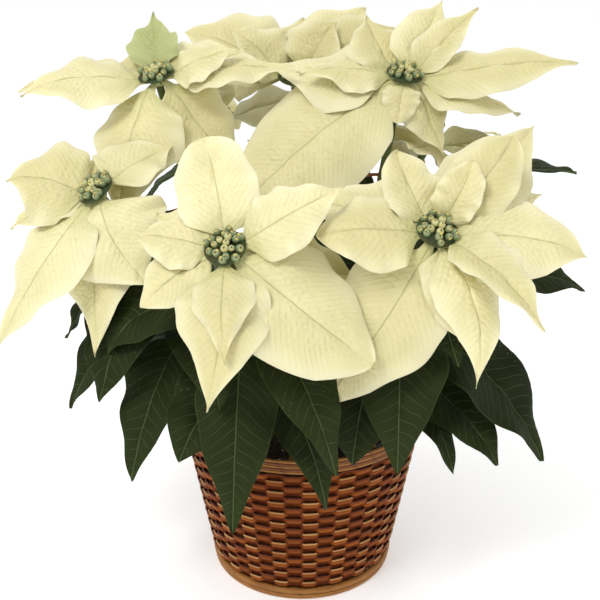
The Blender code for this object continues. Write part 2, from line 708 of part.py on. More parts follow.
def main():
    clear_scene()
    crowd = Crowd()
    basket_solids(crowd)
    curves = {head: stem_path(spec[0], head) for head, spec in HEADS.items()}
    stems = {plant: [trunk_solid(plant)] for plant in PLANTS}
    for head, (plant, _, _) in HEADS.items():
        stems[plant].append(branch_solid(curves[head]))
    for plant, solids in stems.items():
        for solid in solids:
            crowd.add("stem_" + plant, solid)
    soil([Vector((x * MM, y * MM, 0)) for (x, y), _ in PLANTS.values()])
    for head in HEADS:
        centre, facing = head_place(head)
        cyathia("cyathia_" + head, centre, facing, crowd)
        crowd.add("bracts_" + head, head_core(centre, facing))
    blades = {head: [] for head in HEADS}
    for head in HEADS:
        centre, facing = head_place(head)
        if head in BRACTS:
            shapes = [bract_shape(centre, facing, row) for row in BRACTS[head]]
        else:
            shapes = list(ring_bracts(head))
        for shape in shapes:
            solid = clear_blade(crowd, "bracts_" + head, shape, BRACT_STATIONS)
            if solid:
                blades[head].append(solid)
        joined("bracts_" + head, head_core(centre, facing), blades[head], "bract")
    for head, place, tip, width, arch, roll in LEAVES:
        node = "stem_" + HEADS[head][0]
        shape = leaf_towards(curves[head], place, Vector(tip) * MM, width * MM, arch * MM, math.radians(roll))
        solid = clear_blade(crowd, node, shape, LEAF_STATIONS)
        if solid:
            stems[HEADS[head][0]].append(solid)
    for head, (count, _, _) in FILL_LEAVES.items():
        node = "stem_" + HEADS[head][0]
        for index in range(count):
            shape = fill_leaf(curves[head], head, index)
            solid = clear_blade(crowd, node, shape, FILL_STATIONS)
            if solid:
                stems[HEADS[head][0]].append(solid)
    for plant, solids in stems.items():
        joined("stem_" + plant, solids[0], solids[1:], "leaf")


main()
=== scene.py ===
# %% [markdown]
# A cream poinsettia grows in a nursery pot that stands in a woven basket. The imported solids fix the
# place and the size of every piece. This lesson makes each piece again as it looks from a step away:
# thin ribbed bracts, veined leaves, small green flowers and a basket of split cane. Loading the frame
# comes first, because each later piece asks it where it belongs.

# %% The frame
import math
import random

import bpy
import numpy as np
from mathutils import Matrix, Vector, noise
from mathutils.kdtree import KDTree


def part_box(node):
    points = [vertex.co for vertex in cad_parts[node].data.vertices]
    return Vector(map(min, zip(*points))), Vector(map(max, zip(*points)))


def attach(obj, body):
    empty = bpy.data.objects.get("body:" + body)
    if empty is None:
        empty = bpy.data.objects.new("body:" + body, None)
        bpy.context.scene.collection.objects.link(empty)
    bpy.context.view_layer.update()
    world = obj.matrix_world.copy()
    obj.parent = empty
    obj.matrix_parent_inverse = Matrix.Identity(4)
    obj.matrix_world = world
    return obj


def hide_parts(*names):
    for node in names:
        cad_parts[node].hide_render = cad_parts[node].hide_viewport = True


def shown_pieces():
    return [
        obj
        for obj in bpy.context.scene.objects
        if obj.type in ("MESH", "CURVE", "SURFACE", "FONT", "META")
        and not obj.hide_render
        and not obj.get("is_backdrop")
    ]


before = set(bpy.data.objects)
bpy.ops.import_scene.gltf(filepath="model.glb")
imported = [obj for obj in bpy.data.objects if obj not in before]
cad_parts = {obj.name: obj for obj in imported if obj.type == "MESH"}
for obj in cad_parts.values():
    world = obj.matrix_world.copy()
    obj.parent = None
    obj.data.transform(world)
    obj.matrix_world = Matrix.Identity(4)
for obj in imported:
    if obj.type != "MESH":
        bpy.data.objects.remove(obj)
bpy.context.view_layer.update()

MM = 0.001

# %% [markdown]
# The plant is seen from in front and above, near enough for the front blooms to look larger than
# those behind. A real camera at arm's length gives the same view, so the place, the tilt and the lens
# are set as a photographer would set them, the lens in millimetres. The basket stands two pixels right
# of the picture's middle.

# %% The camera
CAMERA_PLACE = (0, -0.711, 0.499)
CAMERA_TILT = math.radians(21.3)
LENS_LENGTH = 60
SENSOR_WIDTH = 36
PICTURE_SIDE = 600
BASKET_RIGHT_OF_MIDDLE = 2

lens = bpy.data.cameras.new("camera")
lens.lens = LENS_LENGTH
lens.sensor_width = SENSOR_WIDTH
lens.shift_x = -BASKET_RIGHT_OF_MIDDLE / PICTURE_SIDE
camera = bpy.data.objects.new("camera", lens)
camera.location = CAMERA_PLACE
camera.rotation_euler = (math.pi / 2 - CAMERA_TILT, 0, 0)
bpy.context.scene.collection.objects.link(camera)
bpy.context.scene.camera = camera
print("camera at", CAMERA_PLACE, "tilted down by", round(math.degrees(CAMERA_TILT), 1), "degrees")

# %% [markdown]
# Catalogue pictures of plants are taken in a white tent: light comes from all round, with one strong
# softbox above and to the left that gives the blooms their form. A white world is the tent, and area
# lights are the softboxes. The view transform is Standard, so that cream stays cream.

# %% Light
PLANT_MIDDLE = (0, 0, 0.25)
TENT_STRENGTH = 0.75


def softbox(name, place, size, watts):
    """A square area light that faces the middle of the plant."""
    light = bpy.data.lights.new(name, "AREA")
    light.energy = watts
    light.size = size
    lamp = bpy.data.objects.new(name, light)
    lamp.location = place
    aim = Vector(PLANT_MIDDLE) - Vector(place)
    lamp.rotation_euler = aim.to_track_quat("-Z", "Y").to_euler()
    bpy.context.scene.collection.objects.link(lamp)
    return lamp


bpy.context.scene.view_settings.view_transform = "Standard"
tent = bpy.data.worlds.new("tent")
tent.use_nodes = True
walls = tent.node_tree.nodes["Background"].inputs
walls["Color"].default_value = (1, 1, 1, 1)
walls["Strength"].default_value = TENT_STRENGTH
bpy.context.scene.world = tent
softbox("key", (-0.5, -0.8, 1.3), size=0.4, watts=8)
softbox("fill", (1.2, -0.8, 0.8), size=1.2, watts=1)
softbox("back", (0.3, 1.2, 1.2), size=1.0, watts=3)

# %% [markdown]
# Materials and growth rules are both trees of nodes. Written node by node they are long and hard to
# read, so a small class wraps one socket, and Python's own signs add the Math nodes. Any other node
# comes from one method that takes its type, its settings and what its sockets hold.


# %% Node trees written as sums
class Value:
    """A socket of a node tree, on which Python's signs add the tree's Math nodes."""

    def __init__(self, graph, socket):
        self.graph = graph
        self.socket = socket

    def __add__(self, other):
        return self.graph.maths("ADD", self, other)

    def __mul__(self, other):
        return self.graph.maths("MULTIPLY", self, other)

    def __sub__(self, other):
        return self.graph.maths("SUBTRACT", self, other)

    def __rsub__(self, other):
        return self.graph.maths("SUBTRACT", other, self)

    def __truediv__(self, other):
        return self.graph.maths("DIVIDE", self, other)

    __radd__ = __add__
    __rmul__ = __mul__


class Graph:
    """A node tree, with one way to add any node to it."""

    def __init__(self, tree):
        self.tree = tree

    def node(self, kind, settings=None, inputs=None, output=0):
        made = self.tree.nodes.new(kind)
        for name, setting in (settings or {}).items():
            setattr(made, name, setting)
        for key, value in (inputs or {}).items():
            self.feed(made.inputs[key], value)
        return Value(self, made.outputs[output])

    def feed(self, socket, value):
        if isinstance(value, Value):
            self.tree.links.new(value.socket, socket)
        else:
            socket.default_value = value

    def maths(self, operation, *values):
        return self.node("ShaderNodeMath", {"operation": operation}, dict(enumerate(values)))

    def step(self, value, low, high):
        """0 below low, 1 above high and smooth between them."""
        inputs = {"Value": value, "From Min": low, "From Max": high}
        return self.node("ShaderNodeMapRange", {"interpolation_type": "SMOOTHSTEP"}, inputs)


print("sums of sockets stand for Math nodes")

# %% [markdown]
# Every finish here is one Principled shader and the nodes before it. A class holds what the finishes
# share: numbers stored with the mesh, one colour laid over another, soft blotches, and a last step
# that feeds the colour, the roughness and a height for the Bump node.


# %% A finish as a class
class Surface(Graph):
    """A finish in the making: one Principled shader and the nodes that feed it."""

    def __init__(self, name, constants):
        self.material = bpy.data.materials.new(name)
        self.material.use_nodes = True
        super().__init__(self.material.node_tree)
        self.shader = self.tree.nodes["Principled BSDF"]
        for socket, value in constants.items():
            self.shader.inputs[socket].default_value = value

    def parts(self, vector):
        """The three numbers of a vector."""
        split = self.node("ShaderNodeSeparateXYZ", inputs={0: vector})
        return [Value(self, socket) for socket in split.socket.node.outputs]

    def attribute(self, name):
        return self.parts(self.node("ShaderNodeAttribute", {"attribute_name": name}, output=1))

    def place(self):
        """Where a point is on the object."""
        return self.node("ShaderNodeTexCoord", output=3)

    def mix(self, share, first, second):
        """The second colour laid over the first by its share."""
        inputs = {0: share, 6: first, 7: second}
        return self.node("ShaderNodeMix", {"data_type": "RGBA"}, inputs, 2)

    def mottle(self, grains_per_metre, detail=2, where=None):
        """Soft blotches around one half, this many to the metre."""
        inputs = {"Vector": where or self.place(), "Scale": grains_per_metre, "Detail": detail}
        return self.node("ShaderNodeTexNoise", inputs=inputs)

    def finish(self, colour, roughness, height, depth):
        """Feeds the shader, with a height between 0 and 1 as relief of this depth in metres."""
        self.feed(self.shader.inputs["Base Color"], colour)
        self.feed(self.shader.inputs["Roughness"], roughness)
        inputs = {"Height": height, "Distance": depth, "Strength": 1.0}
        self.feed(self.shader.inputs["Normal"], self.node("ShaderNodeBump", inputs=inputs))
        return self.material


print("each finish feeds Base Color, Roughness and Normal")

# %% [markdown]
# The floor is a sheet of white card, pale and matt, with the faint grain of card. As on a light table,
# a little light comes through it from below, so that shadows on it stay pale.


# %% Floor of white card
def white_card():
    card = Surface("white_card", {"Specular IOR Level": 0.2, "Emission Strength": 0.27})
    card.feed(card.shader.inputs["Emission Color"], (1.0, 1.0, 1.0, 1.0))
    grain = card.mottle(300)
    colour = card.mix(grain, (0.965, 0.965, 0.965, 1), (0.99, 0.99, 0.99, 1))
    return card.finish(colour, 0.8, grain, 0.00002)


def linked(name, mesh, material=None):
    """A new object of this mesh, at the origin."""
    made = bpy.data.objects.new(name, mesh)
    bpy.context.scene.collection.objects.link(made)
    if material:
        mesh.materials.append(material)
    return made


FLOOR_SIDE = 30.0
card_mesh = bpy.data.meshes.new("floor")
half_side = FLOOR_SIDE / 2
card_corners = [(-half_side, -half_side, 0), (half_side, -half_side, 0)]
card_corners += [(half_side, half_side, 0), (-half_side, half_side, 0)]
card_mesh.from_pydata(card_corners, [], [(0, 1, 2, 3)])
floor = linked("floor", card_mesh, white_card())
floor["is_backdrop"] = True
print("floor of", FLOOR_SIDE, "m")

# %% [markdown]
# Three cuttings were potted together, and each branches into two or three stems that end in a bloom.
# The blooms' places and the way they face are the plant's skeleton. They are lengths in millimetres,
# and the bracts of the blooms that show are given as the camera sees them: how far each tip lies to
# the right of, above and in front of its bloom's middle.

# %% The plant's skeleton
VIEW_UP = np.array((0, math.sin(CAMERA_TILT), math.cos(CAMERA_TILT)))
VIEW_OUT = np.array((0, -math.cos(CAMERA_TILT), math.sin(CAMERA_TILT)))
VIEW_RIGHT = np.array((1.0, 0, 0))
SOIL_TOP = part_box("soil")[1].z

# Each plant: place of the trunk in the soil, and how far it rises before it branches
PLANTS = {
    "left": ((-32, -22), 26),
    "right": ((34, -20), 30),
    "back": ((-2, 38), 34),
}
# Each bloom: plant, middle of its flowers, the way they face
BLOOMS = {
    "front_left": ("left", (-48, -120, 304), (-0.12, -0.62, 0.78)),
    "front_right": ("right", (85, -110, 312), (0.16, -0.58, 0.80)),
    "left": ("left", (-143, -40, 320), (-0.42, -0.42, 0.80)),
    "upper_left": ("left", (-107, 30, 388), (-0.20, -0.30, 0.93)),
    "upper_right": ("right", (75, 30, 388), (0.18, -0.32, 0.93)),
    "top": ("back", (-6, 112, 374), (0.0, -0.45, 0.90)),
    "back_left": ("back", (-72, 148, 332), (-0.35, 0.60, 0.72)),
    "back_right": ("right", (108, 100, 324), (0.58, 0.34, 0.72)),
}


def unit(vectors):
    """Vectors of length 1 in the same directions."""
    vectors = np.asarray(vectors, float)
    return vectors / np.linalg.norm(vectors, axis=-1, keepdims=True)


def bloom_place(bloom):
    _, centre, facing = BLOOMS[bloom]
    return np.array(centre) * MM, unit(facing)


print("blooms:", ", ".join(BLOOMS))

# %% [markdown]
# A bract is a coloured leaf. Its midrib is a smooth curve from the stem's end to the tip, and its
# outline is a half width at a few places along that curve. A table names the bracts of each bloom that
# shows. The two blooms at the back follow a rule instead: each bract stands 137.5 degrees round from
# the last, as leaves on most stems do, and the later ones are shorter and more upright.

# %% The bracts' tables
# Each bract: tip to the right, up and out, widest width, bulge, sideways sweep, roll, fold, and how
# blunt its tip is, from 0 for a long point to 1 for a round end
BRACTS = {
    "front_left": (
        (-17, 78, -16, 54, 4, 4, 0, 0.12, 1),
        (-56, 8, -12, 40, 8, 0, 14, -0.15, 0.6),
        (-54, -38, -10, 42, 9, 4, -8, -0.15, 0.6),
        (-10, -104, 8, 60, 20, -12, 0, -0.2, 0),
        (2, -72, 24, 40, 18, 2, 6, -0.3, 0),
        (90, -62, 12, 80, 24, 8, -6, -0.2, 0.8),
        (76, 34, -8, 46, 12, 8, 8, -0.2, 0),
        (82, -6, -22, 56, 8, 0, -8, 0.1, 0.3),
        (-52, 34, -40, 40, 4, 0, 0, 0.1, 0.3),
    ),
    "front_right": (
        (-20, 62, -8, 40, 5, -6, 0, 0.2, 0.8),
        (22, 43, 4, 30, 3, 4, 0, 0.2, 0.8),
        (50, 60, -8, 46, 8, 6, 6, -0.15, 0.8),
        (80, 90, -44, 60, 10, 4, 0, 0.12, 0),
        (90, 17, -4, 46, 12, 6, 12, -0.3, 0),
        (108, 20, -28, 56, 8, -8, -8, 0.1, 0),
        (92, -18, 8, 66, 18, -4, -6, -0.18, 0.3),
        (22, -94, 26, 44, 22, -20, 0, -0.4, 0),
        (20, -60, 8, 36, 12, 4, -6, -0.2, 0.6),
        (41, -65, -6, 34, 8, 2, 0, -0.2, 0.6),
        (74, -64, -22, 38, 6, 2, -10, 0.3, 0),
        (-76, -2, 10, 54, 14, 0, 0, -0.25, 0.6),
        (-62, -114, -8, 74, 14, -14, 0, -0.2, 0),
        (-84, 34, -20, 50, 8, 0, 10, 0.12, 0.3),
        (4, 62, -46, 58, 4, 0, 0, 0.1, 0.2),
    ),
    "left": (
        (-64, 6, -8, 70, 12, 8, 6, -0.12, 0),
        (-66, -26, -24, 34, 6, 0, 0, 0.1, 0),
        (-66, -112, 6, 60, 20, -14, 0, -0.2, 0),
        (36, -62, 24, 84, 24, 10, 0, -0.25, 0.4),
        (-4, -112, 0, 62, 14, -8, 0, -0.15, 0),
        (50, 34, -34, 60, 6, 0, 0, 0.15, 0),
        (-36, 22, -62, 52, 8, 0, 0, 0.1, 0),
        (-72, -44, -58, 54, 10, 0, 0, 0.1, 0),
    ),
    "upper_left": (
        (-10, 68, -26, 40, 0, -4, 0, 0.5, 0),
        (-103, -12, -8, 48, 18, 8, 10, -0.2, 0),
        (-94, -26, 8, 50, 16, 0, -12, -0.25, 0),
        (-31, -92, 28, 72, 26, 10, 0, -0.42, 0),
        (-48, 20, -32, 56, 8, 0, 0, 0.1, 0),
        (106, 0, 4, 42, 10, -6, -10, -0.2, 0),
        (62, 16, 6, 40, 8, 4, 8, -0.15, 0),
        (60, 44, -20, 62, 8, 8, 8, 0.1, 0),
        (64, -54, -6, 62, -6, 8, 0, -0.15, 0),
        (-50, -6, -62, 56, 10, 0, 0, 0.1, 0),
        (46, -6, -66, 50, 10, 0, 0, 0.1, 0),
    ),
    "upper_right": (
        (-22, 68, -16, 58, 6, -6, 0, 0.12, 0),
        (56, 50, -10, 32, 4, -2, 0, 0.2, 0),
        (32, 64, -24, 46, 4, 0, 0, 0.2, 0),
        (128, 8, -4, 46, 14, 6, 12, -0.3, 0),
        (92, -14, -10, 42, 18, 8, -12, -0.3, 0),
        (-7, -38, 8, 28, 6, 0, 0, -0.1, 1),
        (34, -46, 0, 42, 10, 0, 0, -0.2, 0),
        (-76, 4, 10, 38, 14, 4, 0, -0.35, 0),
        (-96, 36, -10, 72, 16, -6, 0, -0.28, 0),
        (-52, -62, 14, 34, 12, 6, 10, -0.3, 0),
        (-136, -112, 10, 92, 18, 14, -6, -0.2, 0.3),
        (-112, -20, -22, 62, -8, 0, 0, -0.2, 0),
        (52, 22, -64, 56, 10, 0, 0, 0.1, 0),
        (-26, 34, -66, 54, 10, 0, 0, 0.1, 0),
        (84, -20, -54, 54, 10, 0, 0, 0.1, 0),
    ),
    "top": (
        (-92, 40, -20, 78, 12, 6, 0, 0.1, 0.3),
        (-46, 68, -30, 66, 10, 0, 0, 0.1, 0.3),
        (8, 76, -36, 70, 10, 0, 0, 0.1, 0.3),
        (60, 62, -30, 66, 10, 0, 0, 0.1, 0.3),
        (-52, 36, 4, 54, 8, 0, 0, 0.1, 0),
        (34, 40, 0, 54, 8, 0, 0, 0.1, 0),
        (86, 22, -40, 60, 10, 0, 0, 0.1, 0),
        (-62, 6, -60, 58, 10, 0, 0, 0.1, 0),
        (24, 10, -92, 56, 12, 0, 0, 0.1, 0),
    ),
}
RING_BRACTS = 8
RING_LENGTH = 100 * MM
RING_WIDTH = 60 * MM
RING_BULGE = 12 * MM
RING_FOLD = -0.15
RING_TILTS = (-14, 38)
GOLDEN = math.radians(137.5)
YOUNG_FOLD = 0.5
YOUNG_GREEN = 0.9
CORE_GREEN = 0.8
print("bracts by table:", sum(len(rows) for rows in BRACTS.values()))

# %% [markdown]
# Each midrib is a cubic curve with four points: two in the heart of the bloom, one in the bract's
# middle that lifts it, and the tip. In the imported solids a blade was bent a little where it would
# have run through another. The bend isn't written down, so it is read from the frame. A blade has five
# corners at its tip and its last two widths. It is tried with each bend, and the first bend that puts
# three of them on corners of the solid is kept.

# %% Midribs, and the bends that the frame shows
CLUSTER_R = 11 * MM
CORE_R = 6 * MM
CORE_DROP = 9 * MM
BLADE_T = 0.9 * MM
WAVE = 0.16
BENDS = (0, 4, -4, 8, -8, 12, -12, 17, -17, 23, -23, 30, -30, 38, -38)
SWINGS = (0, 10, -10, 20, -20)
MATCH = 0.1 * MM
CORNERS_TO_MATCH = 3


def turn_about(axis, angle, vector):
    """The vector turned round an axis of length 1."""
    cos, sin = np.cos(angle), np.sin(angle)
    if np.ndim(angle):
        cos, sin = cos[:, None], sin[:, None]
    along = np.sum(axis * vector, axis=-1, keepdims=True) * axis
    return along + (vector - along) * cos + np.cross(axis, vector) * sin


def bezier(points, t):
    """Points at t, a number or several, on the Bezier curve of these four control points."""
    t = np.asarray(t, float)[..., None]
    a, b, c, d = points
    s = 1 - t
    return s ** 3 * a + 3 * s * s * t * b + 3 * s * t * t * c + t ** 3 * d


class Blade:
    """A bract or leaf: its midrib for each bend, and the width, fold and roll that it keeps."""

    def __init__(self, midrib, width, face, stations, fold=0.0, roll=0.0, blunt=0.0, green=0.0):
        self.midrib = midrib
        self.width = width
        self.face = face
        self.stations = np.array(stations)
        self.fold = fold
        self.roll = roll
        self.blunt = blunt
        self.green = green

    def frame_at(self, points, t):
        """Where the midrib is at t, the way it runs, the way across, and the way up from the blade."""
        here = bezier(points, t)
        along = unit(bezier(points, t + 0.02) - bezier(points, np.maximum(t - 0.02, 0)))
        side = unit(np.cross(along, self.face))
        side = turn_about(along, self.roll * t, side)
        return here, along, side, np.cross(side, along)

    def corners(self, points):
        """The solid's upper corners at the last two stations and at its tip."""
        t, share, wave = self.stations[-2:].T
        here, _, side, up = self.frame_at(points, t)
        half = (self.width / 2 * share)[:, None]
        lift = up * (self.fold * half + BLADE_T / 2)
        sway = up * (WAVE * wave[:, None] * half)
        tip = points[3] + up[-1] * BLADE_T / 2
        return np.vstack([here - side * half + lift + sway, here + side * half + lift - sway, tip[None]])

    def settle(self, tree):
        """The midrib with the bend that puts the blade's corners on those of the solid."""
        for swing in SWINGS:
            for bend in BENDS:
                points = self.midrib(bend * MM, math.radians(swing))
                gaps = sorted(tree.find(corner)[2] for corner in self.corners(points))
                if gaps[CORNERS_TO_MATCH - 1] < MATCH:
                    return points
        return None


def corner_tree(node):
    """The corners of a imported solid, ready to be searched."""
    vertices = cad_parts[node].data.vertices
    tree = KDTree(len(vertices))
    for index, vertex in enumerate(vertices):
        tree.insert(vertex.co, index)
    tree.balance()
    return tree


def settled(blades, node):
    """Each blade with its midrib, without any that the solid has no corners of."""
    tree = corner_tree(node)
    pairs = [(blade, blade.settle(tree)) for blade in blades]
    return [pair for pair in pairs if pair[1] is not None]


print("bends tried for a blade:", len(BENDS) * len(SWINGS))

# %% [markdown]
# A bract rises out of the cone at the end of its stem, passes under the flowers and runs out to its
# tip. It is widest a little past its middle, and some tips are blunt. One function makes a bract of
# any bloom from its tip and its sizes, and both the table's bracts and those of the rule come from it.

# %% Bracts by table and by rule
# Each station: place along the blade, half width as a share of the widest, wave of the margin
BRACT_STATIONS = ((0.0, 0.05, 0), (0.17, 0.13, 0), (0.36, 0.88, 0.5), (0.57, 1.0, -0.5), (0.80, 0.54, 0.4))
BLUNT_PLACE = 0.07
BLUNT_SHARE = 0.22


def bract(centre, facing, reach, width, bulge, sweep, roll, fold, blunt=0.0, green=0.0):
    """A bract of the bloom at centre, whose tip lies at reach from it."""
    outward = unit(reach - facing * reach.dot(facing))
    root = centre - facing * CORE_DROP * 0.62 + outward * CORE_R * 0.55
    neck = centre - facing * CORE_DROP * 0.45 + outward * CLUSTER_R * 1.35

    def midrib(bend, swing):
        turned = turn_about(facing, swing, reach)
        tip = centre + turned + facing * bend
        side = unit(np.cross(turned, facing))
        middle = centre + (tip - centre) * 0.55 + facing * (bulge + bend * 0.5) + side * sweep
        return np.array([root, neck, middle, tip])

    face = unit(facing + VIEW_OUT * 0.35) if VIEW_OUT.dot(facing) > 0 else facing
    place, share, wave = BRACT_STATIONS[-1]
    last = (place + BLUNT_PLACE * blunt, share + BLUNT_SHARE * blunt, wave)
    return Blade(midrib, width, face, BRACT_STATIONS[:-1] + (last,), fold, roll, blunt, green)


def table_bracts(bloom):
    centre, facing = bloom_place(bloom)
    for right, up, out, width, bulge, sweep, roll, fold, blunt in BRACTS[bloom]:
        reach = (VIEW_RIGHT * right + VIEW_UP * up + VIEW_OUT * out) * MM
        green = YOUNG_GREEN if fold >= YOUNG_FOLD else 0.0
        sizes = (width * MM, bulge * MM, sweep * MM, math.radians(roll))
        yield bract(centre, facing, reach, *sizes, fold, blunt, green)


def ring_bracts(bloom):
    """Spreading bracts, then smaller upright ones, for a bloom at the back."""
    rng = random.Random(f"ring {bloom}")
    centre, facing = bloom_place(bloom)
    turn = np.array(Vector(facing).to_track_quat("Z", "Y").to_matrix())
    for index in range(RING_BRACTS):
        share = index / (RING_BRACTS - 1)
        length = RING_LENGTH * (1.08 - 0.55 * share) * rng.uniform(0.94, 1.06)
        angle = index * GOLDEN
        rise = math.radians(RING_TILTS[0] + (RING_TILTS[1] - RING_TILTS[0]) * share)
        level = math.cos(rise)
        way = np.array((math.cos(angle) * level, math.sin(angle) * level, math.sin(rise)))
        width = RING_WIDTH * (1.1 - 0.45 * share)
        sweep = rng.uniform(-5, 5) * MM
        yield bract(centre, facing, turn @ way * length, width, RING_BULGE, sweep, 0.0, RING_FOLD)


bloom_blades = {}
for bloom in BLOOMS:
    blades = table_bracts(bloom) if bloom in BRACTS else ring_bracts(bloom)
    bloom_blades[bloom] = settled(blades, "bracts_" + bloom)
print("bracts found:", {bloom: len(found) for bloom, found in bloom_blades.items()})

# %% [markdown]
# A living bract is a thin sheet. Its midrib lies in a shallow valley, its side veins are sunk and the
# tissue between them puffs up, and its margin waves. Sculpting eighty of them by hand would take days
# and a single modelled bract repeated eighty times would show. So one class makes the sheet of any
# blade: a grid of points in rows along the midrib, moved up and down by formulas, with an upper and
# an under face that meet at the margin. It also stores, for the finish, where each point lies.

# %% A sheet with ribs
ROOT_ROWS = 6
COLUMN_SHARES = (0.0, 0.05, 0.14, 0.27, 0.42, 0.58, 0.74, 0.89, 1.0)
ROW_CROWDING = 1.2
LAST_ROW = 0.9985
OPENING = 0.18
LEAST_HALF_WIDTH = 0.25 * MM
BLUNTING = 0.85
MARGIN_BEATS = (3.4, 5.2)
MARGIN_SWAY = 0.02
VALLEY_ROUND = 0.012
VALLEY_FLOOR = 0.11
CRUMPLE_RUN = 4.5 * MM
CRUMPLED_FROM = 14 * MM
VEINED_FROM = 8 * MM
GROOVE_WIDTH = 1.1 * MM
GROOVE_DEPTH = 0.5 * MM
RIB_BELOW = 0.9 * MM


def smooth_through(places, values, t):
    """A smooth curve through the values that never overshoots them."""
    places, values = np.asarray(places, float), np.asarray(values, float)
    widths, rises = np.diff(places), np.diff(values) / np.diff(places)
    slopes = np.zeros(len(places))
    slopes[0], slopes[-1] = rises[0], rises[-1]
    for k in range(1, len(places) - 1):
        if rises[k - 1] * rises[k] > 0:
            before, after = 2 * widths[k] + widths[k - 1], widths[k] + 2 * widths[k - 1]
            slopes[k] = (before + after) / (before / rises[k - 1] + after / rises[k])
    k = np.clip(np.searchsorted(places, t, side="right") - 1, 0, len(places) - 2)
    u = (t - places[k]) / widths[k]
    start = values[k] * (1 + 2 * u) * (1 - u) ** 2 + values[k + 1] * u * u * (3 - 2 * u)
    return start + widths[k] * (slopes[k] * u * (1 - u) ** 2 - slopes[k + 1] * u * u * (1 - u))


def ringed(upper, lower):
    """Rings round a blade: each row of the upper face, then that of the under face, backwards."""
    return np.concatenate([upper, lower[:, -2:0:-1]], axis=1)


